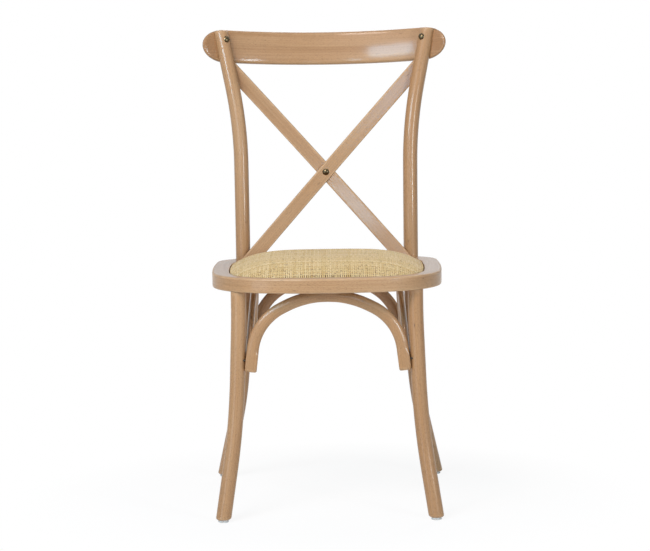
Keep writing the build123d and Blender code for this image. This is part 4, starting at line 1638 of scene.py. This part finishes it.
@dataclass
class ArchBraces(Joinery):
    """Four flat bars bent on edge under the seat, between the legs."""

    legs: FrontLegs
    posts: BackPosts
    depth: float = 0.022
    width: float = 0.012
    power: float = 1.9
    squaring: float = 5.0
    squared_reach: tuple[float, float] = (0.006, 0.02)
    squared_turn: float = 0.5
    worn_reach: float = 0.006
    drop: float = 0.147
    back_drop: float = 0.131
    bite: float = 0.0012
    gap: float = 0.0022
    crown_flat: float = 0.0015
    knee_in: float = 0.011
    pitch: float = math.radians(26.0)
    crown_share: float = 0.57
    shoulder_share: float = 0.37
    offset: float = 0.0085
    front_setback: float = 0.051
    back_inset: float = 0.013
    side_inset: float = 0.079
    end_round: float = 0.003
    # Painted shade deepens the front and back arches under the seat; painted light pales the side arches.
    painted_shading: float = 2.5
    side_painted_light: float = -4.0
    screw_rise: float = 0.020
    screw_recess: float = 0.0012
    screw_radius: float = 0.0041
    step: float = 0.004
    columns: int = 116

    def corners(self, half_span: float, height: float) -> tuple[Array, Array]:
        """Corners of an arch's middle line in its own plane, and the radii at them.

        Args:
            half_span: Half of the distance between its ends.
            height: Height from its ends to the seat, along its plane.

        Returns:
            Corners end, knee, apex, knee, end, and the radii of shoulders and crown.
        """
        half_knee = half_span - self.knee_in
        crown = self.crown_flat - self.depth / 2.0
        rise = half_knee / math.sin(self.pitch) * (1.0 / math.cos(self.pitch) - 1.0)
        apex = crown + self.crown_share * rise
        knee = apex - half_knee * math.tan(self.pitch)
        places = np.array([[-half_span, -height], [-half_knee, knee], [0.0, apex], [half_knee, knee],
                           [half_span, -height]])
        runs = np.diff(places, axis=0)
        turns = np.arccos(np.sum(unit(runs[:-1]) * unit(runs[1:]), axis=1))
        shares = np.array([self.shoulder_share, self.crown_share, self.shoulder_share])
        return places, shares * np.linalg.norm(runs[1]) / np.tan(turns / 2.0)

    def arch(self, plan: ArchPlan) -> Surface:
        """Section carried along one arch, rounded at its ends and flat where it lies against the seat.

        The section is near an oval, and squarer beside the screws so that their heads lie in its surface.

        Args:
            plan: Where the arch stands.

        Returns:
            The arch's surface.
        """
        places, radii = self.corners(plan.half_span, float(np.linalg.norm(plan.crown - plan.ends)))
        route = plan.crown + places[:, :1] * plan.across + places[:, 1:] * plan.up
        line = BentLine.rounded(route, radii)
        turn = np.linspace(0.0, math.pi / 2.0, CORNER_POINTS)
        end = np.column_stack([self.end_round * (1.0 - np.cos(turn)), self.end_round * (1.0 - np.sin(turn))])
        recesses = self.recesses(plan, route)
        count = int(line.length / self.step)
        shaft = np.linspace(self.end_round, line.length - self.end_round, count)[1:-1]
        shaft = np.unique(np.concatenate([shaft, *(recess.rows(line) for recess in recesses)]))
        stations = np.concatenate([[0.0], end[:, 0], shaft, line.length - end[::-1, 0], [line.length]])
        inset = np.concatenate([[self.width / 4.0], end[:, 1], np.zeros(len(shaft)), end[::-1, 1],
                                [self.width / 4.0]])
        away = np.min([np.abs(stations - recess.station(line)) for recess in recesses], axis=0)
        angle = np.linspace(0.0, 2.0 * math.pi, self.columns, endpoint=False) + math.pi / self.columns
        near = 1.0 - eased(away[:, None], *self.squared_reach)
        power = self.power + self.squaring * near * eased(np.abs(np.sin(angle)), 0.0, self.squared_turn)
        section = rounded_section(self.width, self.depth, power, angle)
        size = np.array([self.width, self.depth])
        sections = section * (1.0 - 2.0 * inset[:, None, None] / size)
        lengths = np.broadcast_to(stations[:, None], sections.shape[:2])
        points, grain = line.carry(np.cross(plan.across, plan.up), lengths, sections)
        points[..., 2] = np.minimum(points[..., 2], self.datum.seat_bottom)
        for recess in recesses:
            points = recess.sink(points)
        rub = worn_ends(stations, line.length, self.worn_reach)[:, None] * np.ones(self.columns)
        # Painted shade on the front and back arches, painted light on the side arches.
        painted_shading = self.side_painted_light if plan.at_side else self.painted_shading
        return Surface.from_grid(points, self.timber.values(grain, rub, painted_shading))

    def recesses(self, plan: ArchPlan, route: Array) -> list[Recess]:
        """Recesses of an arch's screws: one under its crown and one near each end.

        The end screws of the front and back arch go through its depth, those of a side arch through
        its width.

        Args:
            plan: Where the arch stands.
            route: Corners of the arch's middle line.

        Returns:
            The three recesses.
        """
        under = plan.crown + plan.up * (self.crown_flat - self.depth + self.screw_recess)
        made = [Recess(under, -plan.up, self.screw_radius)]
        square = np.cross(plan.across, plan.up)
        reach = (self.width if plan.at_side else self.depth) / 2.0 - self.screw_recess
        for end, knee in ((route[0], route[1]), (route[-1], route[-2])):
            along = unit(knee - end)
            if plan.at_side:
                inward = unit(square) * np.sign(square[0] * -plan.crown[0])
            else:
                inward = np.cross(square, along)
                inward = inward * np.sign((plan.crown - end) @ inward)
            made.append(Recess(end + along * self.screw_rise + inward * reach, inward, self.screw_radius))
        return made

    def plans(self) -> dict[str, ArchPlan]:
        """Where the front, back and two side arches stand between the legs and posts.

        Returns:
            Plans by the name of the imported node.
        """
        leg_line, post_line = (BentRod(rods.route(Side.RIGHT)).line() for rods in (self.legs, self.posts))
        top = self.datum.seat_bottom
        low, back_low = top - self.drop, top - self.back_drop
        leg, post = leg_line.at_height(low), post_line.at_height(low)
        back_post = post_line.at_height(back_low)
        from_axis = BentRod.radius - self.bite
        inset = from_axis + self.depth / 2.0
        front_y, back_y = leg[1] - self.offset, post[1] + self.offset
        side_y = (front_y + back_y) / 2.0
        side_half = (back_y - front_y) / 2.0 - (self.width + self.depth) / 2.0 - self.gap
        side_x = self.datum.seat_half - self.side_inset
        end_x = (leg[0] + post[0]) / 2.0 - from_axis - self.width / 2.0
        front = np.array([0.0, self.datum.seat_front + self.front_setback, top])
        back = np.array([0.0, self.datum.seat_back - self.back_inset, top])
        back_ends = np.array([0.0, back_post[1] + self.offset, back_low])
        plans = {
            "front_arch": ArchPlan(front, np.array([0.0, front_y, low]), ACROSS, leg[0] - inset),
            "back_arch": ArchPlan(back, back_ends, ACROSS, back_post[0] - inset),
        }
        for side in Side:
            crown = np.array([side.value * side_x, side_y, top])
            ends = np.array([side.value * end_x, side_y, low])
            plans[f"{side.word}_side_arch"] = ArchPlan(crown, ends, BACKWARD, side_half)
        return plans

    def members(self) -> Iterator[tuple[str, Surface]]:
        """The front, back and two side arches.

        Yields:
            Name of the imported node, and the surface that takes its place.
        """
        for name, plan in self.plans().items():
            yield name, self.arch(plan)


@dataclass(frozen=True)
class SeatOutline:
    """Plan of a seat: bowed front, bowed sides, straight back and rounded corners."""

    front_half: float
    middle_half: float
    back_half: float
    front: float
    back: float
    bow: float
    front_corner: float
    back_corner: float
    corner_samples: ClassVar[int] = 60
    samples: ClassVar[int] = 80

    @property
    def middle(self) -> float:
        """Place halfway between front and back."""
        return (self.front + self.back) / 2.0

    def half(self, count: int) -> Array:
        """Right half from the middle of the back to the middle of the front, evenly spaced.

        Each corner circle touches its two neighbours from inside, so its centre lies radius - corner
        away from both of their centres.

        Args:
            count: Number of points.

        Returns:
            Array of count points.
        """
        shoulder = np.array([self.front_half, self.front + self.bow])
        nose, tail = np.array([0.0, self.front]), np.array([self.back_half, self.back])
        side, side_radius = circle_through(shoulder, np.array([self.middle_half, self.middle]), tail)
        bow, bow_radius = circle_through(shoulder, nose, shoulder * [-1.0, 1.0])
        rear_y = self.back - self.back_corner
        rear_x = side[0] + math.sqrt((side_radius - self.back_corner) ** 2 - (rear_y - side[1]) ** 2)
        rear = np.array([rear_x, rear_y])
        fore = self._inside_both(side, side_radius - self.front_corner, bow, bow_radius - self.front_corner)
        rear_end = side + side_radius * unit(rear - side)
        fore_start = side + side_radius * unit(fore - side)
        fore_end = bow + bow_radius * unit(fore - bow)
        stretches = [
            np.array([[0.0, self.back]]),
            arc_points(rear, self.back_corner, np.array([rear_x, self.back]), rear_end, self.corner_samples),
            arc_points(side, side_radius, rear_end, fore_start, self.samples)[1:],
            arc_points(fore, self.front_corner, fore_start, fore_end, self.samples)[1:],
            arc_points(bow, bow_radius, fore_end, nose, self.samples)[1:],
        ]
        return evenly(np.concatenate(stretches), count)

    @staticmethod
    def _inside_both(first: Array, reach: float, second: Array, other: float) -> Array:
        """Point at two distances from two centres, on the side nearer the front right corner.

        Args:
            first: First centre.
            reach: Distance from it.
            second: Second centre.
            other: Distance from that.

        Returns:
            The point.
        """
        apart = second - first
        span = float(np.linalg.norm(apart))
        along = (reach**2 - other**2 + span**2) / (2.0 * span)
        off = math.sqrt(reach**2 - along**2)
        direction = apart / span
        square = np.array([-direction[1], direction[0]])
        middle = first + direction * along
        return max((middle + off * square, middle - off * square), key=lambda place: place[0] - place[1])

    def loop(self, count: int) -> Array:
        """Whole outline, starting at the middle of the back and going round by the right side.

        Args:
            count: Number of points.

        Returns:
            Array of count points.
        """
        right = self.half(count // 2 + 1)
        left = right[1:-1][::-1] * [-1.0, 1.0]
        return np.concatenate([right, left])

    def drawn_in(self, margin: float) -> "SeatOutline":
        """Draws the outline smaller all round.

        Args:
            margin: How much smaller, or larger where it is below 0.

        Returns:
            The new outline.
        """
        return SeatOutline(self.front_half - margin, self.middle_half - margin, self.back_half - margin,
                           self.front + margin, self.back - margin, self.bow,
                           self.front_corner - margin, self.back_corner - margin)


@dataclass
class SeatFrame(Joinery):
    """Wide wooden ring with a bowed front, rebated for the woven seat."""

    front_taper: float = 0.012
    back_taper: float = 0.008
    bow: float = 0.046
    front_corner: float = 0.130
    back_corner: float = 0.062
    top_round: float = 0.004
    bottom_round: float = 0.003
    round_rows: int = 7
    under_shares: tuple[float, ...] = (0.35, 0.7)
    side_shares: tuple[float, ...] = (0.35, 0.6)
    top_shares: tuple[float, ...] = (0.25, 0.5, 0.75, 1.0)
    floor_shares: tuple[float, ...] = (0.5, 1.0)
    brink_share: float = 0.02
    brink_drop: float = 0.0006
    brink_rub: float = 0.3
    rebate_depth: float = 0.011
    rims: tuple[float, float, float] = (0.026, 0.033, 0.039)
    lips: tuple[float, float, float] = (0.046, 0.062, 0.036)
    lip_power: float = 14.0
    panel_bow: float = 0.018
    panel_corners: tuple[float, float] = (0.095, 0.080)
    panel_gap: float = 0.0008
    head_stand: float = 0.0002
    columns: int = 360

    def outline(self) -> SeatOutline:
        """Outer plan of the ring.

        Returns:
            The outline.
        """
        half = self.datum.seat_half
        return SeatOutline(half - self.front_taper, half, half - self.back_taper, self.datum.seat_front,
                           self.datum.seat_back, self.bow, self.front_corner, self.back_corner)

    def panel(self) -> SeatOutline:
        """Plan of the drop-in seat.

        Returns:
            The outline.
        """
        front, side, back = self.rims
        half = self.datum.seat_half - side
        return SeatOutline(half - self.front_taper, half, half - self.back_taper,
                           self.datum.seat_front + front, self.datum.seat_back - back, self.panel_bow,
                           *self.panel_corners)

    def opening(self) -> Array:
        """Plan of the hole in the ring, a rounded rectangle, point by point beside the rebate.

        Returns:
            Array of points.
        """
        front = self.datum.seat_front + self.rims[0] + self.lips[0]
        back = self.datum.seat_back - self.rims[2] - self.lips[2]
        width = 2.0 * (self.datum.seat_half - self.rims[1] - self.lips[1])
        middle = np.array([0.0, (front + back) / 2.0])
        rim = self.panel().loop(self.columns) - middle
        angle = np.arctan2(rim[:, 1] / (back - front), rim[:, 0] / width)
        return rounded_section(width, back - front, np.array(self.lip_power), angle) + middle

    def profile(self, outer: Array) -> tuple[Array, Array, Array]:
        """Closed profile of the ring, at each place round its outline.

        It goes from the hole along the underside, round the outer edge, over the top to the rebate, down to
        the rebate's floor and back to the hole. Its points lie between the plans of outline, rebate and hole.

        Args:
            outer: Outer plan of the ring.

        Returns:
            Plan of each point, and the heights and the rub along the profile.
        """
        rebate = self.panel().drawn_in(-self.panel_gap).loop(self.columns)
        hole = self.opening()
        ahead = np.roll(outer, -1, axis=0) - np.roll(outer, 1, axis=0)
        inward = unit(np.stack([-ahead[:, 1], ahead[:, 0]], -1))
        to_middle = np.array([0.0, self.panel().middle]) - outer
        inward = inward * np.sign(np.sum(inward * to_middle, axis=1))[:, None]
        low, high = self.datum.seat_bottom + self.head_stand, self.datum.seat_top
        floor = high - self.rebate_depth
        under = outer + inward * self.bottom_round
        edge = outer + inward * self.top_round
        brink = rebate + (outer - rebate) * self.brink_share
        turn = np.linspace(0.0, math.pi / 2.0, self.round_rows)
        rows: list[tuple[Array, float, float]] = [(hole, low, 0.0)]
        rows += [(hole + (under - hole) * share, low, 0.0) for share in self.under_shares]
        rows += [(outer + inward * self.bottom_round * (1.0 - math.sin(a)),
                  low + self.bottom_round * (1.0 - math.cos(a)), math.sin(2.0 * a)) for a in turn]
        rows += [(outer, low + (high - low) * share, 0.0) for share in self.side_shares]
        rows += [(outer + inward * self.top_round * (1.0 - math.cos(a)),
                  high - self.top_round * (1.0 - math.sin(a)), math.sin(2.0 * a)) for a in turn]
        rows += [(edge + (brink - edge) * share, high, 0.0) for share in self.top_shares]
        rows += [(rebate, high - self.brink_drop, self.brink_rub), (rebate, floor, 0.0)]
        rows += [(rebate + (hole - rebate) * share, floor, 0.0) for share in self.floor_shares]
        plans, heights, rub = zip(*rows)
        return np.stack(plans, axis=1), np.array(heights), np.array(rub)

    def members(self) -> Iterator[tuple[str, Surface]]:
        """The ring: a closed profile carried round the outline.

        Yields:
            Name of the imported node, and the surface that takes its place.
        """
        outer = self.outline().loop(self.columns)
        plans, heights, rub = self.profile(outer)
        points = np.concatenate([plans, np.broadcast_to(heights[None, :, None], plans.shape[:2] + (1,))], -1)
        steps = np.linalg.norm(np.roll(outer, -1, axis=0) - outer, axis=1)
        around = np.concatenate([[0.0], np.cumsum(steps)])
        depth = np.linalg.norm(plans - outer[:, None], axis=-1)
        places = np.stack([np.broadcast_to(around[:-1, None], depth.shape), depth, points[..., 2]], -1)
        values = self.timber.values(places, np.broadcast_to(rub, depth.shape))
        seam = values[:1].copy()
        seam[..., 0] += around[-1]
        yield "seat_frame", Surface.from_grid(points, values, seam)


@dataclass
class WovenSeat:
    """Crowned drop-in seat: strands of split cane in plain weave over a lined pad."""

    lining_crease: ClassVar[float] = 60.0
    strand_crease: ClassVar[float] = 75.0

    panel: SeatOutline
    draws: np.random.Generator
    edge_height: float = 0.447
    base_height: float = 0.444
    crown: float = 0.028
    fullness: float = 4.6
    oval: float = 3.8
    rim_hold: float = 5.0
    pitch: float = 0.0038
    strand_width: float = 0.0028
    strand_thickness: float = 0.0010
    wave: float = 0.00062
    cover: float = 0.0012
    rim_margin: float = 0.0010
    tuck: float = 0.0055
    tuck_share: float = 0.35
    sway: float = 0.00018
    meander: float = 0.00042
    meander_turns: tuple[float, float] = (4.0, 14.0)
    width_shares: tuple[float, float] = (0.92, 1.06)
    tones: tuple[float, float] = (0.1, 0.3)
    cane_length: float = 20.0
    section: tuple[tuple[float, float], ...] = ((-0.5, -0.4), (-0.31, 1.0), (0.31, 1.0), (0.5, -0.4))
    nudge: float = 0.0005
    rim_samples: int = 1440
    end_samples: int = 800
    rows: int = 238
    lining_drop: float = 0.0019
    lining_margin: float = 0.0012
    lining_start: float = 0.03
    lining_base: tuple[float, ...] = (1.0, 0.6, 0.1)
    rings: int = 40
    columns: int = 180

    def __post_init__(self) -> None:
        """Keeps the rim of the weave as distance from the middle by angle."""
        self.rim = self.panel.drawn_in(self.rim_margin)
        offsets = self.rim.loop(self.rim_samples) - [0.0, self.rim.middle]
        angle = np.arctan2(offsets[:, 1], offsets[:, 0])
        order = np.argsort(angle)
        self.rim_angles = angle[order]
        self.rim_distances = np.linalg.norm(offsets, axis=1)[order]

    def height(self, x: Array, y: Array) -> Array:
        """Crowned top: edge + crown * (1 - r^fullness).

        At the rim r is the share of the way from the middle to the rim. Further in it turns into an oval
        measure, (|x / half width|^p + |y / half depth|^p)^(1 / p), so that no ridge runs to the corners.

        Args:
            x: Places across the chair.
            y: Places from its front to its back.

        Returns:
            Height of the top at each place.
        """
        across, along = x, y - self.rim.middle
        reach = np.interp(np.arctan2(along, across), self.rim_angles, self.rim_distances,
                          period=2.0 * math.pi)
        share = np.minimum(np.hypot(across, along) / reach, 1.0)
        half = (self.rim.back - self.rim.front) / 2.0
        oval = np.abs(across / self.rim.middle_half) ** self.oval + np.abs(along / half) ** self.oval
        share = share + (oval ** (1.0 / self.oval) - share) * (1.0 - share**self.rim_hold)
        return self.edge_height + self.crown * (1.0 - np.clip(share, 0.0, 1.0) ** self.fullness)

    def ends(self, run: Run, places: Array) -> tuple[Array, Array]:
        """Where strands at given places meet the rim.

        Args:
            run: Direction of the strands.
            places: Place of each strand across its run.

        Returns:
            First and last place of each strand along its run.
        """
        half = self.rim.half(self.end_samples)
        if run is Run.CROSSWISE:
            reach = np.interp(places, half[::-1, 1], half[::-1, 0])
            return -reach, reach
        widest = int(np.argmax(half[:, 0]))
        back = np.interp(np.abs(places), half[: widest + 1, 0], half[: widest + 1, 1])
        front = np.interp(np.abs(places), half[widest:, 0][::-1], half[widest:, 1][::-1])
        return front, back

    def lines(self, run: Run) -> tuple[Array, Array, Array]:
        """Centre lines of one run: crowned top - cover + wave * cos(pi * place / pitch + pi * number).

        The two runs take opposite signs, so that each strand goes over one and under the next. At the rim
        the strands turn down into the gap beside the pad.

        Args:
            run: Direction of the strands.

        Returns:
            Number of each strand, its centre points, and the direction across it at each of them.
        """
        lengthwise = run is Run.LENGTHWISE
        limit = self.rim.middle_half if lengthwise else (self.rim.back - self.rim.front) / 2.0
        middle = 0.0 if lengthwise else self.rim.middle
        travel_middle = self.rim.middle if lengthwise else 0.0
        number = np.arange(-int(limit / self.pitch) + 1, int(limit / self.pitch))
        places = middle + number * self.pitch
        first, last = self.ends(run, places)
        share = np.linspace(0.0, 1.0, self.rows)
        travel = first[:, None] + (last - first)[:, None] * share
        sway = self.draws.normal(0.0, self.sway, (len(number), 1))
        bend = self.draws.uniform(-1.0, 1.0, (len(number), 1))
        turns = self.draws.uniform(*self.meander_turns, (len(number), 1))
        swing = self.meander * bend * np.sin(2.0 * math.pi * (turns * share + bend))
        fixed = places[:, None] + sway + swing
        sign = 1.0 if lengthwise else -1.0
        phase = math.pi * (travel - travel_middle) / self.pitch + math.pi * number[:, None]
        lift = sign * self.wave * np.cos(phase) - self.cover
        x, y = (fixed, travel) if lengthwise else (travel, fixed)
        nudge = self.nudge
        slope_x = (self.height(x + nudge, y) - self.height(x - nudge, y)) / (2.0 * nudge)
        slope_y = (self.height(x, y + nudge) - self.height(x, y - nudge)) / (2.0 * nudge)
        normal = unit(np.stack([-slope_x, -slope_y, np.ones_like(x)], -1))
        centre = np.stack([x, y, self.height(x, y)], -1) + lift[..., None] * normal
        drops = [share * self.tuck * UP for share in (1.0, self.tuck_share)]
        lower = [centre[:, :1] - drop for drop in drops]
        upper = [centre[:, -1:] - drop for drop in reversed(drops)]
        centre = np.concatenate([*lower, centre, *upper], axis=1)
        one, none = np.ones_like(x), np.zeros_like(x)
        flat = np.stack([one, none, slope_x] if lengthwise else [none, one, slope_y], -1)
        return number, centre, np.pad(flat, ((0, 0), (len(drops), len(drops)), (0, 0)), mode="edge")

    def strands(self, run: Run) -> Surface:
        """All strands of one run: a flat section with a narrower top, carried along each centre line.

        Args:
            run: Direction of the strands.

        Returns:
            Surface of the strands.
        """
        number, centre, flat = self.lines(run)
        tangent = unit(np.gradient(centre, axis=1))
        side = unit(flat - np.sum(flat * tangent, -1, keepdims=True) * tangent)
        top = np.cross(side, tangent) * (1.0 if run is Run.LENGTHWISE else -1.0)
        width = self.strand_width * self.draws.uniform(*self.width_shares, len(number))
        section = np.array(self.section)
        wide, deep = section[:, 0] * width[:, None], section[:, 1] * self.strand_thickness / 2.0
        points = (centre[:, :, None] + wide[:, None, :, None] * side[:, :, None]
                  + deep[None, None, :, None] * top[:, :, None])
        steps = np.linalg.norm(np.diff(centre, axis=1), axis=-1)
        along = np.concatenate([np.zeros((len(number), 1)), np.cumsum(steps, axis=1)], axis=1)
        along = along + self.draws.uniform(0.0, self.cane_length, (len(number), 1))
        tone = self.draws.normal(*self.tones, len(number))
        shape = points.shape[:-1]
        values = np.stack([np.broadcast_to(along[:, :, None], shape),
                           np.broadcast_to(wide[:, None, :] + number[:, None, None], shape),
                           np.broadcast_to(deep, shape), np.zeros(shape),
                           np.broadcast_to(tone[:, None, None], shape)], -1)
        return Surface.from_tubes(points, values)

    def lining(self) -> Surface:
        """Padded body under the weave: rings out over the crown, down the edge and back below.

        Returns:
            The body's surface.
        """
        loop = self.rim.drawn_in(self.lining_margin).loop(self.columns) - [0.0, self.rim.middle]
        share = np.sin(np.linspace(self.lining_start, math.pi / 2.0, self.rings))
        shares = np.concatenate([share, self.lining_base])
        plan = shares[:, None, None] * loop + [0.0, self.rim.middle]
        heights = self.height(plan[..., 0], plan[..., 1]) - self.lining_drop
        heights[self.rings:] = self.base_height
        points = np.concatenate([plan, heights[..., None]], -1)
        values = np.concatenate([points, np.zeros(points.shape[:2] + (2,))], -1)
        return Surface.from_grid(points, values)

    def build(self, effects: Effects) -> list[Piece]:
        """Makes and dresses the pad and both runs of strands.

        Args:
            effects: Shared node groups.

        Returns:
            The new pieces.
        """
        pad = self.lining().piece("seat_pad_lining", self.lining_crease)
        CANE_LINING.dress(pad, effects)
        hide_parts("cane_seat")
        made = [pad]
        for run in Run:
            piece = self.strands(run).piece(f"{run.value}_cane_strands", self.strand_crease)
            WOVEN_CANE.dress(piece, effects)
            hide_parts("cane_seat")
            made.append(piece)
        return made


@dataclass(frozen=True)
class Hardware:
    """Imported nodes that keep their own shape: fasteners, glides and the seat board."""

    finishes: tuple[tuple[Finish, tuple[str, ...]], ...] = (
        (AGED_BRONZE, ("cross_bolt", "cross_nut", "rail_bolts", "rail_nuts", "seat_bolts")),
        (ZINC_STEEL, ("barrel_nuts",)),
        (DARK_STEEL, ("crown_screws", "arch_end_screws", "slat_screws", "panel_screws")),
        (GLIDE_PLASTIC, ("left_front_glide", "right_front_glide", "left_back_glide", "right_back_glide")),
        (PLYWOOD, ("seat_board",)),
    )

    def build(self, effects: Effects) -> list[Piece]:
        """Dresses each node with its finish.

        Args:
            effects: Shared node groups.

        Returns:
            The dressed nodes.
        """
        made = []
        for finish, names in self.finishes:
            for name in names:
                finish.dress(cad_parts[name], effects)
                made.append(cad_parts[name])
        return made


# Studio


@dataclass(frozen=True)
class Softbox:
    """Rectangular lamp: its place, what it points at, its size and its power."""

    name: str
    place: tuple[float, float, float]
    target: tuple[float, float, float]
    size: tuple[float, float]
    power: float
    colour: tuple[float, float, float] = (1.0, 1.0, 1.0)

    def build(self) -> None:
        """Adds the lamp."""
        data = bpy.data.lights.new(self.name, "AREA")
        data.shape = "RECTANGLE"
        data.size, data.size_y = self.size
        data.energy = self.power
        data.color = self.colour
        lamp = bpy.data.objects.new(self.name, data)
        lamp.location = self.place
        aim = Vector(self.target) - Vector(self.place)
        lamp.rotation_euler = aim.to_track_quat("-Z", "Y").to_euler()
        lamp.visible_camera = False
        bpy.context.scene.collection.objects.link(lamp)


@dataclass(frozen=True)
class Studio:
    """White studio with soft lamps, and the camera at the photograph's place."""

    image_width: float = 650.0
    sensor: float = 36.0
    focal_pixels: float = 2503.6
    camera_place: tuple[float, float, float] = (0.0187, -4.7127, 0.9461)
    pitch: float = 0.1101
    roll: float = -0.0145
    yaw: float = -0.0048
    view_limit: float = 60.0
    ambient: float = 0.1
    gloss_tint: Colour = (0.8, 0.94, 1.04, 1.0)
    floor_half: float = 9.0
    floor_colour: Colour = (0.9, 0.9, 0.9, 1.0)
    shadow_reach: tuple[float, float] = (0.36, 0.6)
    shadow_glow: float = 0.9
    softboxes: tuple[Softbox, ...] = (
        Softbox("key_window", (-1.17, -1.61, 1.35), (0.1, 0.2, 0.8), (0.9, 0.34), 18.0, (0.62, 0.92, 1.14)),
        Softbox("left_strip", (-1.3, -1.7, 0.25), (0.0, 0.1, 0.3), (0.8, 0.6), 4.0, (0.88, 0.98, 1.06)),
        Softbox("right_strip", (1.35, -1.75, 0.8), (0.1, 0.1, 0.8), (0.36, 0.6), 18.0, (0.86, 0.99, 1.08)),
        Softbox("left_card", (-0.48, -1.7, 1.0), (0.08, 0.14, 0.53), (0.16, 0.2), 1.7, (0.6, 0.9, 1.1)),
        Softbox("right_card", (0.225, -1.7, 0.75), (0.12, 0.17, 0.76), (0.13, 0.13), 0.6, (0.2, 0.75, 1.3)),
        Softbox("front_softbox", (-1.0, -2.2, 2.95), (0.0, 0.1, 0.6), (1.2, 1.0), 69.0, (1.1, 0.965, 0.94)),
        Softbox("top_softbox", (0.0, -0.4, 2.6), (0.0, 0.0, 0.4), (2.2, 1.8), 3.0),
        Softbox("back_softbox", (0.4, 2.3, 2.5), (0.0, 0.1, 0.5), (1.6, 1.2), 26.0),
    )

    def camera(self) -> None:
        """Adds the camera: its axes follow from the yaw, the pitch down and the roll."""
        cos_yaw, sin_yaw = math.cos(self.yaw), math.sin(self.yaw)
        cos_pitch, sin_pitch = math.cos(self.pitch), math.sin(self.pitch)
        forward = Vector((cos_pitch * sin_yaw, cos_pitch * cos_yaw, -sin_pitch))
        right = Vector((cos_yaw, -sin_yaw, 0.0))
        up = Vector((sin_pitch * sin_yaw, sin_pitch * cos_yaw, cos_pitch))
        cos_roll, sin_roll = math.cos(self.roll), math.sin(self.roll)
        rows = (cos_roll * right + sin_roll * up, cos_roll * up - sin_roll * right, -forward)
        data = bpy.data.cameras.new("camera")
        data.sensor_width = self.sensor
        data.lens = self.focal_pixels * self.sensor / self.image_width
        data.clip_end = self.view_limit
        made = bpy.data.objects.new("camera", data)
        made.matrix_world = Matrix.Translation(self.camera_place) @ Matrix(rows).transposed().to_4x4()
        bpy.context.scene.collection.objects.link(made)
        bpy.context.scene.camera = made

    @staticmethod
    def seen(graph: Graph) -> Socket:
        """Marks rays that show the background itself: from the camera, in gloss and through glass.

        Args:
            graph: Graph of the world or of a material.

        Returns:
            1 for these rays and 0 for others.
        """
        path = graph.node("ShaderNodeLightPath").outputs
        shown = graph.math("MAXIMUM", path["Is Camera Ray"], path["Is Glossy Ray"])
        return graph.math("MAXIMUM", shown, path["Is Transmission Ray"])

    def world(self) -> None:
        """White to the eye, and a plain soft light on the chair."""
        world = bpy.data.worlds.new("studio")
        world.use_nodes = True
        bpy.context.scene.world = world
        graph = Graph(world.node_tree)
        background = graph.node("ShaderNodeBackground")
        gloss = graph.node("ShaderNodeLightPath").outputs["Is Glossy Ray"]
        colour = graph.mix(gloss, (1.0, 1.0, 1.0, 1.0), self.gloss_tint)
        strength = graph.math("MULTIPLY_ADD", self.seen(graph), 1.0 - self.ambient, self.ambient)
        graph.wire(background, Color=colour, Strength=strength)
        graph.wire(graph.node("ShaderNodeOutputWorld"), Surface=background.outputs[0])

    def floor(self) -> None:
        """Pale floor that keeps the chair's shadow near it and turns to plain white away from it."""
        half = self.floor_half
        corners = [(-half, -half, 0.0), (half, -half, 0.0), (half, half, 0.0), (-half, half, 0.0)]
        mesh = bpy.data.meshes.new("floor")
        mesh.from_pydata(corners, [], [(0, 1, 2, 3)])
        floor = bpy.data.objects.new("floor", mesh)
        bpy.context.scene.collection.objects.link(floor)
        material = bpy.data.materials.new("floor")
        material.use_nodes = True
        graph = Graph(material.node_tree)
        matte = graph.wire(graph.node("ShaderNodeBsdfDiffuse"), Color=self.floor_colour)
        glow = graph.node("ShaderNodeEmission")
        length = graph.node("ShaderNodeVectorMath", operation="LENGTH")
        graph.feed(length.inputs[0], graph.place())
        far = graph.remap(length.outputs["Value"], *self.shadow_reach, self.shadow_glow, 1.0)
        blend = graph.node("ShaderNodeMixShader")
        graph.feed(blend.inputs[0], graph.math("MULTIPLY", far, self.seen(graph)))
        graph.feed(blend.inputs[1], matte.outputs[0])
        graph.feed(blend.inputs[2], glow.outputs[0])
        graph.wire(graph.node("ShaderNodeOutputMaterial"), Surface=blend.outputs[0])
        mesh.materials.append(material)

    def build(self) -> None:
        """Adds the camera, world, floor and lamps."""
        bpy.context.scene.view_settings.view_transform = "Standard"
        self.camera()
        self.world()
        self.floor()
        for softbox in self.softboxes:
            softbox.build()


def main() -> None:
    """Builds the chair's sub-assemblies in order and reports their pieces."""
    logging.basicConfig(level=logging.INFO, format="%(name)s: %(message)s")
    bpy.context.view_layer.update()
    timber = Timber(SEED)
    effects = Effects()
    datum = Datum.from_frame()
    legs = FrontLegs(datum, timber)
    rail = TopRail(datum, timber)
    posts = BackPosts(datum, timber, rail)
    seat = SeatFrame(datum, timber)
    assemblies = (
        legs,
        posts,
        rail,
        CrossSlats(datum, timber, rail, posts),
        ArchBraces(datum, timber, legs, posts),
        seat,
        WovenSeat(seat.panel(), np.random.default_rng(SEED)),
        Hardware(),
    )
    for assembly in assemblies:
        for piece in assembly.build(effects):
            log.info("%s: %s, %d faces", type(assembly).__name__, piece.name, len(piece.data.polygons))
    Studio().build()


if __name__ == "__main__":
    main()
